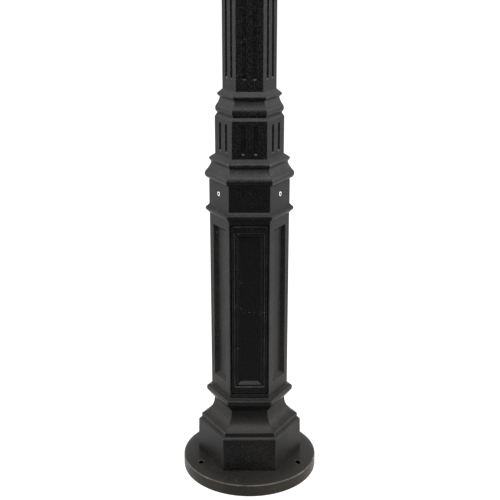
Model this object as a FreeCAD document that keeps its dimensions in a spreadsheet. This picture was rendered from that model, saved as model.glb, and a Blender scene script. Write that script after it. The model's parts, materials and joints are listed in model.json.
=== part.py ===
import FreeCAD, Part
import math
import os
import re

import Sketcher

# Double head lamp post, cast and bolted together: millimetres, +Z up, front towards -Y,
# origin at the middle of the underside of the round base plate.

# Driving sizes. A size called flats is measured across two opposite faces of a hexagon.
SIZES = {
    # Fits shared by the pieces
    "thread_gap": 0.1,
    "slip_gap": 0.3,
    "pin_gap": 0.05,
    "cut_margin": 3,
    "socket_share": 0.6,
    # Round base plate, its anchor holes and the screws that hold the pedestal
    "base_diameter": 240,
    "base_rim": 22,
    "base_rise": 6,
    "base_edge": 2.5,
    "base_seat_margin": 3,
    "cable_hole": 60,
    "anchor_circle": 200,
    "anchor_hole": 9.5,
    "base_screw": 8,
    "base_screw_head": 13,
    "base_screw_head_height": 8,
    "base_screw_bite": 24,
    "base_screw_recess": 12,
    "base_boss": 20,
    "base_boss_height": 34,
    # Pedestal: foot, cavetto, ring, panelled column, bead and band
    "foot_flats": 161.4,
    "foot_top_flats": 159.4,
    "foot_height": 59,
    "foot_wall": 8,
    "ledge_flats": 149.8,
    "ledge_rise": 8,
    "shoulder_bow": 0.85,
    "lip_height": 4,
    "cavetto_height": 32,
    "cavetto_round": 35.5,
    "neck_flats": 109,
    "neck_height": 1,
    "ring_flats": 131.2,
    "ring_flare": 15,
    "ring_nose": 9.5,
    "ring_round": 9.5,
    "ring_fall": 6.5,
    "ring_fall_bow": 0.8,
    "column_flats": 116.6,
    "column_wall": 8.5,
    "bead_flats": 123,
    "bead_flare": 4,
    "bead_nose": 9,
    "bead_round": 4.9,
    "bead_fall": 3.5,
    "band_flats": 117.4,
    "band_height": 42,
    "band_wall": 8.5,
    # Sunk panels of the column faces and of the door
    "panel_width": 41,
    "panel_end": 16,
    "panel_depth": 6,
    "panel_bevel": 45,
    # Access door in the front face
    "door_width": 59,
    "door_height": 303,
    "door_rise": 5,
    "door_head": 7.5,
    "door_thickness": 9,
    "door_gap": 1.8,
    "door_corner": 3,
    "door_wall": 14.5,
    "door_border": 4.5,
    "door_border_end": 12,
    "door_border_step": 1,
    "door_ledge": 7,
    "door_ledge_end": 14,
    "seal_thickness": 1.5,
    "seal_inset": 1,
    "door_screw": 5,
    "door_screw_end": 6,
    "door_screw_head": 8,
    "door_screw_head_height": 4,
    "door_screw_sink": 0.4,
    "door_frame_rise": 10,
    # Connection board behind the door
    "board_width": 56,
    "board_height": 130,
    "board_thickness": 4,
    "board_boss": 14,
    "board_boss_height": 11.5,
    "board_screw": 5,
    "board_screw_spacing": 112,
    "board_screw_bite": 10,
    "board_screw_head": 9,
    "board_screw_head_height": 3,
    "block_width": 48,
    "block_height": 34,
    "block_depth": 20,
    "block_lift": 28,
    "block_way_pitch": 15,
    "block_way_spacing": 18,
    "terminal_screw": 5,
    "terminal_screw_sink": 1.5,
    "terminal_screw_length": 10,
    "fuse_width": 22,
    "fuse_height": 46,
    "fuse_depth": 28,
    "fuse_drop": 24,
    "earth_stud": 8,
    "earth_stud_length": 34,
    "earth_nut_flats": 13,
    "earth_nut_height": 6.5,
    "earth_boss": 18,
    "earth_drop": 96,
    # Arcs of an ogee's fall, their radius a share of the distance that each spans, and where they meet
    "ogee_fall_bow": 1.25,
    "ogee_split": 0.6,
    # Collar: spigot, ogee, bead and fluted drum
    "spigot_depth": 44,
    "collar_bore": 80,
    "collar_flats": 117,
    "collar_step": 1.4,
    "collar_flare": 8.6,
    "collar_flare_bow": 0.82,
    "collar_nose_flats": 130.2,
    "collar_nose": 1,
    "collar_nose_round": 12,
    "collar_fall": 18.2,
    "collar_neck_flats": 110.9,
    "collar_neck": 0.8,
    "collar_bead_flare": 3,
    "collar_bead_flats": 113.7,
    "collar_bead_nose": 6,
    "collar_bead_round": 3.5,
    "collar_bead_fall": 5.2,
    "drum_flats": 99.2,
    "drum_height": 62,
    "drum_chamfer": 5.3,
    "collar_web": 12,
    "collar_web_hole": 30,
    "set_screw": 8,
    "set_screw_height": 18,
    "set_screw_proud": 0.4,
    "set_screw_socket": 4,
    "set_screw_socket_depth": 4,
    # Shaft: socket tenon, ogee, bead and long fluted shaft
    "tenon_flats": 76,
    "tenon_depth": 46,
    "tenon_floor": 14,
    "tenon_hole": 30,
    "shaft_bolt": 6,
    "shaft_bolt_circle": 50,
    "shaft_bolt_bite": 12,
    "shaft_bolt_head": 10,
    "shaft_bolt_head_height": 6,
    "shaft_foot_flats": 92.7,
    "shaft_foot_step": 2,
    "shaft_foot_flare": 5.9,
    "shaft_foot_flare_bow": 1.24,
    "shaft_foot_nose_flats": 97.9,
    "shaft_foot_nose": 1,
    "shaft_foot_nose_round": 10,
    "shaft_foot_fall": 16.8,
    "shaft_foot_neck_flats": 84.7,
    "shaft_foot_neck": 0.6,
    "shaft_foot_bead_flare": 2.6,
    "shaft_foot_bead_flats": 88.8,
    "shaft_foot_bead_nose": 5.4,
    "shaft_foot_bead_round": 3.1,
    "shaft_foot_bead_fall": 5.6,
    "shaft_flats": 76.5,
    "shaft_length": 850.9,
    "shaft_wall": 6,
    # Flutes of the shaft and of the drum
    "flute_width": 6,
    "shaft_flute_offset": 8.4,
    "shaft_flute_low": 18.4,
    "shaft_flute_high": 48,
    "drum_flute_offset": 10.2,
    "drum_flute_end": 7.3,
    # Capital on the shaft
    "capital_spigot": 50,
    "capital_set_height": 22,
    "capital_flats": 84,
    "capital_step": 8,
    "capital_flare": 5,
    "capital_nose_flats": 96,
    "capital_nose": 7,
    "capital_nose_round": 5,
    "capital_fall": 7,
    "capital_neck_flats": 86,
    "capital_neck": 6,
    "capital_sweep": 18,
    "capital_sweep_round": 22,
    "capital_top_flats": 112,
    "capital_rim": 9,
    "capital_bore": 30,
    "capital_hollow": 50,
    "capital_crown": 24,
    # Arm hub and its finial
    "hub_flats": 84,
    "hub_height": 100,
    "hub_bore": 62,
    "hub_floor": 12,
    "hub_bolt": 6,
    "hub_bolt_circle": 46,
    "hub_bolt_bite": 16,
    "hub_bolt_head": 10,
    "hub_bolt_head_height": 6,
    "finial_plug": 14,
    "finial_base": 76,
    "finial_base_height": 10,
    "finial_neck_height": 16,
    "finial_ball": 52,
    "finial_spire": 58,
    "finial_tip": 5,
    # Arms
    "arm_tube": 32,
    "arm_flange_width": 44,
    "arm_flange_height": 86,
    "arm_flange": 10,
    "arm_flange_corner": 8,
    "arm_bolt": 8,
    "arm_bolt_spacing": 64,
    "arm_bolt_bite": 9,
    "arm_bolt_head": 13,
    "arm_bolt_head_height": 8,
    "arm_run": 24,
    "arm_dip": 35,
    "arm_dip_round": 80,
    "arm_sweep_round": 125,
    "arm_riser": 34,
    "arm_seat": 84,
    "arm_seat_rim": 8,
    "arm_seat_cone": 22,
    "arm_seat_neck": 40,
    # Lantern base and the nipple that holds it
    "nipple": 20,
    "nipple_bore": 12,
    "nipple_bite": 28,
    "nipple_proud": 4,
    "nipple_nut_flats": 30,
    "nipple_nut_height": 8,
    "lantern_base_flats": 132,
    "lantern_base_foot_flats": 96,
    "lantern_base_flare": 12,
    "lantern_base_round": 30,
    "lantern_base_rim": 7,
    "lantern_base_floor": 10,
    "lantern_base_sink_flats": 98,
    # Lantern cage and glass
    "cage_low_flats": 126,
    "cage_top_flats": 204,
    "cage_height": 250,
    "cage_wall": 7,
    "cage_rail": 16,
    "cage_post": 9,
    "cage_screw": 4,
    "cage_screw_bite": 10,
    "cage_screw_head": 7,
    "cage_screw_head_height": 4,
    "glass_thickness": 3,
    "glass_gap": 0.2,
    "glass_top_margin": 6,
    "glass_corner_gap": 5,
    # Lamp holder and lamp
    "holder_diameter": 40,
    "holder_height": 58,
    "holder_floor": 12,
    "holder_foot": 30,
    "holder_foot_height": 10,
    "cap_diameter": 26.6,
    "cap_height": 27,
    "cap_tip": 10,
    "cap_tip_height": 3,
    "cap_gap": 0.4,
    "bulb_diameter": 60,
    "bulb_neck": 25,
    "bulb_neck_height": 20,
    "bulb_wall": 1.2,
    # Lantern roof, its finial and hinge
    "roof_eave_flats": 236,
    "roof_fascia": 8,
    "roof_slope": 56,
    "roof_shoulder_flats": 120,
    "roof_crown": 44,
    "roof_crown_flats": 60,
    "roof_crown_rim": 6,
    "roof_mouth_step": 8,
    "roof_wall": 6,
    "roof_crown_hollow": 24,
    "roof_finial_stem": 14,
    "roof_finial_grip": 16,
    "roof_finial_base": 44,
    "roof_finial_base_height": 8,
    "roof_finial_neck_height": 8,
    "roof_finial_ball": 34,
    "roof_finial_spire": 34,
    "roof_finial_tip": 4,
    "hinge_knuckle": 12,
    "hinge_pin": 5,
    "hinge_stand_off": 1,
    "hinge_leaf": 13,
    "hinge_leaf_width": 28,
    "hinge_leaf_gap": 1,
    "hinge_ear_width": 14,
    "hinge_ear_root": 4,
    "hinge_ear_height": 6,
    "hinge_side_gap": 0.4,
    "hinge_pin_head": 9,
    "hinge_pin_head_height": 2,
}

# Sizes and levels that follow from the driving ones
WORKED_OUT = {
    "base_screw_circle": "2 * (foot_flats - 2 * foot_wall) / sqrt(3) - base_boss",
    # Levels inside the pedestal, from the underside of its foot
    "ledge_top": "foot_height + ledge_rise",
    "lip_top": "ledge_top + lip_height",
    "neck_low": "lip_top + cavetto_height",
    "ring_low": "neck_low + neck_height",
    "ring_nose_low": "ring_low + ring_flare",
    "ring_nose_high": "ring_nose_low + ring_nose",
    "column_low": "ring_nose_high + ring_fall",
    "column_top": "column_low + door_rise + door_height + door_head",
    "bead_nose_low": "column_top + bead_flare",
    "bead_nose_high": "bead_nose_low + bead_nose",
    "band_low": "bead_nose_high + bead_fall",
    "pedestal_height": "band_low + band_height",
    "door_low": "column_low + door_rise",
    "door_top": "door_low + door_height",
    "door_middle": "door_low + door_height / 2",
    "door_frame_top": "door_top + door_frame_rise",
    "front_face": "column_flats / 2",
    "rebate_depth": "door_thickness + seal_thickness",
    "column_bore": "column_flats - 2 * column_wall",
    "band_bore": "band_flats - 2 * band_wall",
    "back_wall": "column_bore / 2",
    "board_front": "back_wall - board_boss_height - board_thickness",
    # Levels inside the collar and the shaft, from their own seats
    "collar_low_end": "collar_step + collar_flare + collar_nose + collar_fall",
    "drum_low": "collar_low_end + collar_neck + collar_bead_flare + collar_bead_nose + collar_bead_fall",
    "drum_top": "drum_low + drum_height",
    "collar_height": "drum_top + drum_chamfer",
    "socket_flats": "tenon_flats + 2 * slip_gap",
    "socket_floor": "collar_height - tenon_depth",
    "shaft_foot_end": "shaft_foot_step + shaft_foot_flare + shaft_foot_nose + shaft_foot_fall",
    "shaft_low": "shaft_foot_end + shaft_foot_neck + shaft_foot_bead_flare"
                 " + shaft_foot_bead_nose + shaft_foot_bead_fall",
    "shaft_top": "shaft_low + shaft_length",
    "shaft_bore": "shaft_flats - 2 * shaft_wall",
    "capital_nose_low": "capital_step + capital_flare",
    "capital_nose_high": "capital_nose_low + capital_nose",
    "capital_neck_low": "capital_nose_high + capital_fall",
    "capital_sweep_low": "capital_neck_low + capital_neck",
    "capital_sweep_top": "capital_sweep_low + capital_sweep",
    "capital_height": "capital_sweep_top + capital_rim",
    # Reach and rise of an arm, from the middle of its flange
    "arm_bore": "nipple + 2 * thread_gap",
    "arm_dip_reach": "arm_run + arm_dip_round * sin(arm_dip)",
    "arm_dip_drop": "arm_dip_round * (1 - cos(arm_dip))",
    "arm_sweep_reach": "arm_dip_reach + arm_sweep_round * (1 + sin(arm_dip))",
    "arm_sweep_rise": "arm_sweep_round * cos(arm_dip) - arm_dip_drop",
    "arm_rise": "arm_sweep_rise + arm_riser",
    # Lantern levels, from the arm's seat
    "lantern_base_height": "lantern_base_flare + lantern_base_rim",
    "cage_top": "lantern_base_height + cage_height",
    "cage_slope": "(cage_top_flats - cage_low_flats) / cage_height",
    "nut_top": "lantern_base_floor + nipple_nut_height",
    "holder_top": "nut_top + holder_height",
    "cap_low": "nut_top + holder_floor",
    "cap_top": "cap_low + cap_tip_height + cap_height",
    "roof_shoulder": "roof_fascia + roof_slope",
    "roof_crown_low": "roof_shoulder + roof_crown",
    "roof_height": "roof_crown_low + roof_crown_rim",
    "roof_mouth_flats": "cage_top_flats - roof_mouth_step",
    "roof_slope_ratio": "roof_slope / (roof_eave_flats - roof_shoulder_flats)",
    "roof_mouth_rim": "roof_eave_flats - roof_mouth_flats - 2 * roof_wall",
    "roof_mouth_top": "roof_fascia + roof_mouth_rim * roof_slope_ratio",
    "roof_crown_ratio": "(roof_shoulder_flats - roof_crown_flats) / roof_crown",
    "hinge_reach": "roof_eave_flats / 2 + hinge_stand_off + hinge_knuckle / 2",
    "hinge_ear_low": "hinge_leaf_width / 2 + hinge_side_gap",
    "hinge_ear_high": "hinge_ear_low + hinge_ear_width",
    # Heights above the floor at which the pieces stand
    "pedestal_seat": "base_rim + base_rise",
    "collar_seat": "pedestal_seat + pedestal_height",
    "shaft_seat": "collar_seat + collar_height",
    "capital_seat": "shaft_seat + shaft_top",
    "hub_seat": "capital_seat + capital_height",
    "arm_level": "hub_seat + hub_height / 2",
    "lantern_seat": "arm_level + arm_rise",
    "lantern_reach": "hub_flats / 2 + arm_sweep_reach",
}

# Faces of each hexagonal piece, and fasteners evenly spaced round the post
FACES = 6
RING_COUNT = 3

doc = FreeCAD.newDocument("lamp_post")
sheet = doc.addObject("Spreadsheet::Sheet", "dims")
for row, (alias, size) in enumerate(SIZES.items(), start=1):
    sheet.set(f"A{row}", alias)
    sheet.set(f"B{row}", str(size))
    sheet.setAlias(f"B{row}", alias)
doc.recompute()

subparts = []


def formula(text):
    """A formula in the names above, written out in cells of the sheet."""

    def cell(match):
        word = match[0]
        if word in SIZES:
            return f"dims.{word}"
        if word in WORKED_OUT:
            return f"({formula(WORKED_OUT[word])})"
        return word

    return re.sub(r"[a-z_]+", cell, text)


def measure(text):
    """The present value of a formula."""
    return float(sheet.evalExpression(formula(text)))


def new_body(label, several=False, rise="0", shift="0", turn=0):
    """A sub-part at its seat: raised along Z, shifted along X and turned about Z."""
    body = doc.addObject("PartDesign::Body", label)
    body.Label = label
    body.AllowCompound = several
    body.Placement = FreeCAD.Placement(FreeCAD.Vector(), FreeCAD.Rotation(FreeCAD.Vector(0, 0, 1), turn))
    body.setExpression("Placement.Base.x", formula(shift))
    body.setExpression("Placement.Base.z", formula(rise))
    subparts.append(body)
    return body


def origin_feature(body, role):
    """One of a body's own planes or axes."""
    return next(feature for feature in body.Origin.OriginFeatures if feature.Role == role)


def new_sketch(body, name, role, along="0", right="0", up="0"):
    """A sketch on an origin plane, moved along the plane's normal and within the plane."""
    sketch = body.newObject("Sketcher::SketchObject", f"{body.Label}_{name}")
    sketch.AttachmentSupport = [(origin_feature(body, role), "")]
    sketch.MapMode = "FlatFace"
    sketch.setExpression("AttachmentOffset.Base.x", formula(right))
    sketch.setExpression("AttachmentOffset.Base.y", formula(up))
    sketch.setExpression("AttachmentOffset.Base.z", formula(along))
    return sketch


def tie(sketch, kind, *args):
    """A size of a sketch that follows a formula, given last."""
    text = args[-1]
    number = sketch.addConstraint(Sketcher.Constraint(kind, *args[:-1], measure(text)))
    sketch.setExpression(f"Constraints[{number}]", formula(text))


def tie_point(sketch, edge, end, point):
    """Holds one end of an edge at a pair of formulas."""
    tie(sketch, "DistanceX", -1, 1, edge, end, point[0])
    tie(sketch, "DistanceY", -1, 1, edge, end, point[1])


def arc_between(start, end, radius, turn):
    """The arc of under a half circle from start to end, turning left (1) or right (-1)."""
    chord = end - start
    half = chord.Length / 2
    left = FreeCAD.Vector(-chord.y, chord.x, 0).normalize()
    centre = (start + end) / 2 + left * turn * math.sqrt(radius ** 2 - half ** 2)
    first, last = (start, end) if turn > 0 else (end, start)
    angles = [math.atan2(point.y - centre.y, point.x - centre.x) for point in (first, last)]
    if angles[1] < angles[0]:
        angles[1] += 2 * math.pi
    circle = Part.Circle(centre, FreeCAD.Vector(0, 0, 1), radius)
    return Part.ArcOfCircle(circle, *angles)


def draw(sketch, points, arcs=None, closed=True):
    """An outline through points given as pairs of formulas.

    arcs gives, for the side that leaves a point, its radius and whether it turns left (1) or right (-1).
    """
    arcs = arcs or {}
    places = [FreeCAD.Vector(measure(x), measure(y), 0) for x, y in points]
    count = len(points)
    sides = count if closed else count - 1
    ends = []
    for side in range(sides):
        start = places[side]
        end = places[(side + 1) % count]
        if side in arcs:
            radius, turn = arcs[side]
            edge = sketch.addGeometry(arc_between(start, end, measure(radius), turn))
            tie(sketch, "Radius", edge, radius)
            ends.append((edge, 1, 2) if turn > 0 else (edge, 2, 1))
        else:
            edge = sketch.addGeometry(Part.LineSegment(start, end))
            ends.append((edge, 1, 2))
    for side in range(sides):
        edge, first, last = ends[side]
        tie_point(sketch, edge, first, points[side])
        if side + 1 < sides or closed:
            following = ends[(side + 1) % sides]
            sketch.addConstraint(Sketcher.Constraint("Coincident", edge, last, following[0], following[1]))
        else:
            tie_point(sketch, edge, last, points[side + 1])
    return [f"Edge{side + 1}" for side in range(sides)]


def draw_circles(sketch, diameter, *centres):
    """Circles of one diameter at pairs of formulas."""
    for centre in centres:
        place = FreeCAD.Vector(measure(centre[0]), measure(centre[1]), 0)
        circle = Part.Circle(place, FreeCAD.Vector(0, 0, 1), measure(diameter) / 2)
        edge = sketch.addGeometry(circle)
        tie(sketch, "Diameter", edge, diameter)
        tie_point(sketch, edge, 3, centre)


def draw_rectangle(sketch, left, low, right, high, corner=None):
    """A rectangle between formulas, with rounded corners if a radius is given."""
    if corner is None:
        draw(sketch, [(left, low), (right, low), (right, high), (left, high)])
        return
    points = [
        (f"{left} + {corner}", low),
        (f"{right} - {corner}", low),
        (right, f"{low} + {corner}"),
        (right, f"{high} - {corner}"),
        (f"{right} - {corner}", high),
        (f"{left} + {corner}", high),
        (left, f"{high} - {corner}"),
        (left, f"{low} + {corner}"),
    ]
    draw(sketch, points, {side: (corner, 1) for side in (1, 3, 5, 7)})


def draw_hexagon(sketch, flats, corners_on_x=True):
    """A regular hexagon round the sketch's origin."""
    half = f"({flats}) / 2"
    corner = f"({flats}) / sqrt(3)"
    side = f"({flats}) / sqrt(12)"
    points = [
        (corner, "0"), (side, half), (f"-{side}", half),
        (f"-{corner}", "0"), (f"-{side}", f"-{half}"), (side, f"-{half}"),
    ]
    if not corners_on_x:
        points = [(y, f"-({x})") for x, y in points]
    draw(sketch, points)


def add(body, kind, name, profile):
    """A feature of a body that grows from or cuts with a sketch."""
    feature = body.newObject(f"PartDesign::{kind}", f"{body.Label}_{name}")
    feature.Profile = profile
    return feature


def pad(body, name, sketch, length, back=False, both=False):
    """Material along the sketch's normal, against it, or half to each side."""
    feature = add(body, "Pad", name, sketch)
    feature.setExpression("Length", formula(length))
    feature.Reversed = back
    feature.SideType = "Symmetric" if both else "One side"
    return feature


def pocket(body, name, sketch, length, back=False, both=False, bevel=None):
    """A cut against the sketch's normal, along it, or half to each side."""
    feature = add(body, "Pocket", name, sketch)
    feature.setExpression("Length", formula(length))
    feature.Reversed = back
    feature.SideType = "Symmetric" if both else "One side"
    if bevel:
        feature.setExpression("TaperAngle", formula(f"-{bevel}"))
    return feature


def turned(body, name, sketch, axis="V_Axis", kind="Revolution"):
    """A sketch turned once round one of its own axes."""
    feature = add(body, kind, name, sketch)
    feature.ReferenceAxis = (sketch, [axis])
    feature.Angle = 360
    return feature


def around(body, name, originals, count=FACES):
    """Features repeated evenly round the body's vertical axis."""
    feature = body.newObject("PartDesign::PolarPattern", f"{body.Label}_{name}")
    feature.Originals = originals
    feature.Axis = (origin_feature(body, "Z_Axis"), [""])
    feature.Angle = 360
    feature.Occurrences = count
    body.Tip = feature
    return feature


def hexagon_block(body, name, flats, low, height, corners_on_x=True):
    """A hexagonal prism standing on a level."""
    sketch = new_sketch(body, f"{name}_outline", "XY_Plane", along=low)
    draw_hexagon(sketch, flats, corners_on_x)
    return pad(body, name, sketch, height)


def hexagon_hollow(body, name, flats, low, height):
    """A hexagonal hole upwards from a level."""
    sketch = new_sketch(body, f"{name}_outline", "XY_Plane", along=low)
    draw_hexagon(sketch, flats)
    return pocket(body, name, sketch, height, back=True)


def round_hollow(body, name, diameter, low, height):
    """A round hole upwards from a level, on the axis."""
    sketch = new_sketch(body, f"{name}_outline", "XY_Plane", along=low)
    draw_circles(sketch, diameter, ("0", "0"))
    return pocket(body, name, sketch, height, back=True)


def moulded_block(body, stock, profile, arcs=None):
    """A hexagonal casting whose six faces all have one moulded profile, with mitred corners.

    The profile runs upwards as pairs of the half width across flats and the level.
    """
    low = profile[0][1]
    high = profile[-1][1]
    block = f"{stock} + 2 * cut_margin"
    hexagon_block(body, "stock", block, low, f"({high}) - ({low})")
    outside = f"({block}) / 2 + cut_margin"
    trim = new_sketch(body, "profile", "YZ_Plane")
    draw(trim, [*profile, (outside, high), (outside, low)], arcs)
    cut = pocket(body, "moulding", trim, f"2 * ({block})", both=True)
    around(body, "mouldings", [cut])


def bow(points, side, share):
    """Radius of an arc between two points of an outline, as a share of their distance."""
    (x, y), (next_x, next_y) = points[side:side + 2]
    return f"{share} * sqrt(pow({next_x} - ({x}); 2) + pow({next_y} - ({y}); 2))"


def ogee_profile(name, next_flats):
    """Step, round flare, nose, S-shaped fall to a neck and a bead, up to the faces of what stands above."""
    meeting_flats = f"({name}_nose_flats + ({name}_neck_flats - {name}_nose_flats) * ogee_split)"
    steps = [
        (f"{name}_flats", "0"),
        (f"{name}_flats", f"{name}_step"),
        (f"{name}_nose_flats", f"{name}_flare"),
        (f"{name}_nose_flats", f"{name}_nose"),
        (meeting_flats, f"{name}_fall * ogee_split"),
        (f"{name}_neck_flats", f"{name}_fall * (1 - ogee_split)"),
        (f"{name}_neck_flats", f"{name}_neck"),
        (f"{name}_bead_flats", f"{name}_bead_flare"),
        (f"{name}_bead_flats", f"{name}_bead_nose"),
        (next_flats, f"{name}_bead_fall"),
    ]
    profile = []
    level = "0"
    for flats, step in steps:
        level = step if level == "0" else f"{level} + {step}"
        profile.append((f"{flats} / 2", level))
    arcs = {
        1: (bow(profile, 1, f"{name}_flare_bow"), 1),
        2: (f"{name}_nose_round", 1),
        3: (bow(profile, 3, "ogee_fall_bow"), 1),
        4: (bow(profile, 4, "ogee_fall_bow"), -1),
        7: (f"{name}_bead_round", 1),
    }
    return profile, arcs


def flutes(body, name, flats, offset, low, high):
    """A pair of half-round flutes with rounded ends in each of the six faces."""
    cuts = []
    for side, sign in (("left", "-"), ("right", "")):
        place = {"along": f"{sign}{offset}", "right": f"{flats} / 2"}
        outline = new_sketch(body, f"{name}_{side}_outline", "YZ_Plane", **place)
        radius = "flute_width / 2"
        points = [
            ("0", low),
            ("0", high),
            (f"-{radius}", f"{high} - {radius}"),
            (f"-{radius}", f"{low} + {radius}"),
        ]
        draw(outline, points, {1: (radius, 1), 3: (radius, 1)})
        cuts.append(turned(body, f"{name}_{side}", outline, kind="Groove"))
    around(body, name, cuts)


def add_screw(body, name, role, seat, place, size, bite, backwards=False):
    """A socket head screw: the shank goes one way from the seat and the head the other."""
    sketches = {}
    for piece in ("shank", "head", "socket"):
        level = f"{seat} {'+' if backwards else '-'} {size}_head_height" if piece == "socket" else seat
        sketches[piece] = new_sketch(body, f"{name}_{piece}_outline", role, level, *place)
    draw_circles(sketches["shank"], size, ("0", "0"))
    draw_circles(sketches["head"], f"{size}_head", ("0", "0"))
    draw_hexagon(sketches["socket"], f"{size} * socket_share")
    head_height = f"{size}_head_height"
    return [
        pad(body, f"{name}_shank", sketches["shank"], bite, back=backwards),
        pad(body, f"{name}_head", sketches["head"], head_height, back=not backwards),
        pocket(body, f"{name}_socket", sketches["socket"], f"{head_height} * socket_share",
               back=not backwards),
    ]


def screw_ring(label, seat, place, size, bite, backwards=False, rise="0", shift="0"):
    """Three like screws along Z, evenly round the axis."""
    body = new_body(label, several=True, rise=rise, shift=shift)
    screw = add_screw(body, "screw", "XY_Plane", seat, place, size, bite, backwards)
    around(body, "ring", screw, RING_COUNT)


def screw_pair(label, role, seat, places, size, bite, backwards=False, rise="0", turn=0):
    """Two like screws, each in its own place."""
    body = new_body(label, several=True, rise=rise, turn=turn)
    for name, place in zip(("first", "second"), places):
        add_screw(body, name, role, seat, place, size, bite, backwards)


def radial_screws(label, rise, level, inner, outer):
    """Three headless screws with sockets, in the back face and in the two faces beside the front."""
    body = new_body(label, several=True, rise=rise)
    outline = new_sketch(body, "outline", "YZ_Plane", up=level)
    socket_floor = f"{outer} - set_screw_socket_depth"
    points = [
        (inner, "0"),
        (socket_floor, "0"),
        (socket_floor, "set_screw_socket / 2"),
        (outer, "set_screw_socket / 2"),
        (outer, "set_screw / 2"),
        (inner, "set_screw / 2"),
    ]
    draw(outline, points)
    around(body, "group", [turned(body, "screw", outline, "H_Axis")], RING_COUNT)


def radial_holes(body, name, level, diameter, outer, depth):
    """Three round holes into the back face and the two faces beside the front."""
    outline = new_sketch(body, f"{name}_outline", "XZ_Plane", along=f"-({outer})")
    draw_circles(outline, diameter, ("0", level))
    around(body, f"{name}_group", [pocket(body, name, outline, depth, back=True)], RING_COUNT)


def circle_place(circle, degrees):
    """A place on a bolt circle."""
    return (f"{circle} / 2 * cos({degrees})", f"{circle} / 2 * sin({degrees})")


def base_plate():
    body = new_body("base_plate")
    crown = "foot_flats / sqrt(3) + base_seat_margin"
    outline = new_sketch(body, "outline", "XZ_Plane")
    points = [
        ("cable_hole / 2", "0"),
        ("base_diameter / 2", "0"),
        ("base_diameter / 2", "base_rim - base_edge"),
        ("base_diameter / 2 - base_edge", "base_rim"),
        (crown, "pedestal_seat"),
        ("cable_hole / 2", "pedestal_seat"),
    ]
    draw(outline, points, {2: ("base_edge", 1)})
    turned(body, "plate", outline)
    anchors = new_sketch(body, "anchor_outline", "XY_Plane")
    draw_circles(anchors, "anchor_hole", circle_place("anchor_circle", 90))
    around(body, "anchors", [pocket(body, "anchor", anchors, "pedestal_seat", back=True)], RING_COUNT)
    screws = new_sketch(body, "screw_outline", "XY_Plane")
    draw_circles(screws, "base_screw + 2 * thread_gap", circle_place("base_screw_circle", 0))
    recess = new_sketch(body, "recess_outline", "XY_Plane")
    draw_circles(recess, "base_screw_head + 2 * slip_gap", circle_place("base_screw_circle", 0))
    cuts = [
        pocket(body, "screw_hole", screws, "pedestal_seat", back=True),
        pocket(body, "screw_recess", recess, "base_screw_recess", back=True),
    ]
    around(body, "screw_holes", cuts, RING_COUNT)


def pedestal():
    body = new_body("pedestal", rise="pedestal_seat")
    profile = [
        ("foot_flats / 2", "0"),
        ("foot_top_flats / 2", "foot_height"),
        ("ledge_flats / 2", "ledge_top"),
        ("ledge_flats / 2", "lip_top"),
        ("neck_flats / 2", "neck_low"),
        ("neck_flats / 2", "ring_low"),
        ("ring_flats / 2", "ring_nose_low"),
        ("ring_flats / 2", "ring_nose_high"),
        ("column_flats / 2", "column_low"),
        ("column_flats / 2", "column_top"),
        ("bead_flats / 2", "bead_nose_low"),
        ("bead_flats / 2", "bead_nose_high"),
        ("band_flats / 2", "band_low"),
        ("band_flats / 2", "pedestal_height"),
    ]
    arcs = {
        1: (bow(profile, 1, "shoulder_bow"), 1),
        3: ("cavetto_round", -1),
        6: ("ring_round", 1),
        7: (bow(profile, 7, "ring_fall_bow"), -1),
        10: ("bead_round", 1),
    }
    moulded_block(body, "foot_flats", profile, arcs)
    hexagon_hollow(body, "foot_hollow", "foot_flats - 2 * foot_wall", "0", "foot_height")
    hexagon_hollow(body, "band_hollow", "band_bore", "door_frame_top", "pedestal_height - door_frame_top")
    pedestal_column_hollow(body)
    pedestal_panels(body)
    pedestal_doorway(body)
    pedestal_bosses(body)
    radial_holes(body, "set_screw_hole", "pedestal_height - set_screw_height", "set_screw + 2 * thread_gap",
                 "band_flats / 2", "band_wall + cut_margin")


def pedestal_column_hollow(body):
    """Hexagonal hollow whose front side is moved in, which leaves the thicker wall that frames the door."""
    half = "column_bore / 2"
    corner = "column_bore / sqrt(3)"
    front = "front_face - door_wall"
    shoulder = f"{corner} - ({front}) / sqrt(3)"
    points = [
        (corner, "0"), (f"{corner} / 2", half), (f"-{corner} / 2", half), (f"-{corner}", "0"),
        (f"-({shoulder})", f"-({front})"), (shoulder, f"-({front})"),
    ]
    outline = new_sketch(body, "column_hollow_outline", "XY_Plane", along="foot_height")
    draw(outline, points)
    pocket(body, "column_hollow", outline, "door_frame_top - foot_height", back=True)


def draw_panel(sketch):
    """Outline of a sunk panel, level with the door."""
    draw_rectangle(sketch, "-panel_width / 2", "door_low + panel_end", "panel_width / 2",
                   "door_top - panel_end")


def pedestal_panels(body):
    """Sunk panels with bevelled edges in the column faces."""
    outline = new_sketch(body, "panel_outline", "XZ_Plane", along="front_face")
    draw_panel(outline)
    panel = pocket(body, "panel", outline, "panel_depth", bevel="panel_bevel")
    around(body, "panels", [panel])


def pedestal_doorway(body):
    """Rebate for the door and its seal, the way through behind it and the holes for its screws."""
    rebate = new_sketch(body, "rebate_outline", "XZ_Plane", along="front_face")
    half = "door_width / 2 + door_gap"
    draw_rectangle(rebate, f"-({half})", "door_low - door_gap", half, "door_top + door_gap", "door_corner")
    pocket(body, "rebate", rebate, "rebate_depth")
    way = new_sketch(body, "way_outline", "XZ_Plane", along="front_face")
    half = "door_width / 2 - door_ledge"
    draw_rectangle(way, f"-({half})", "door_low + door_ledge_end", half, "door_top - door_ledge_end")
    pocket(body, "way", way, "door_wall + cut_margin")
    holes = new_sketch(body, "door_screw_outline", "XZ_Plane", along="front_face")
    draw_circles(holes, "door_screw + 2 * thread_gap", *door_screw_places())
    pocket(body, "door_screw_holes", holes, "door_wall + cut_margin")


def door_screw_places():
    return ("0", "door_low + door_screw_end"), ("0", "door_top - door_screw_end")


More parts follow.
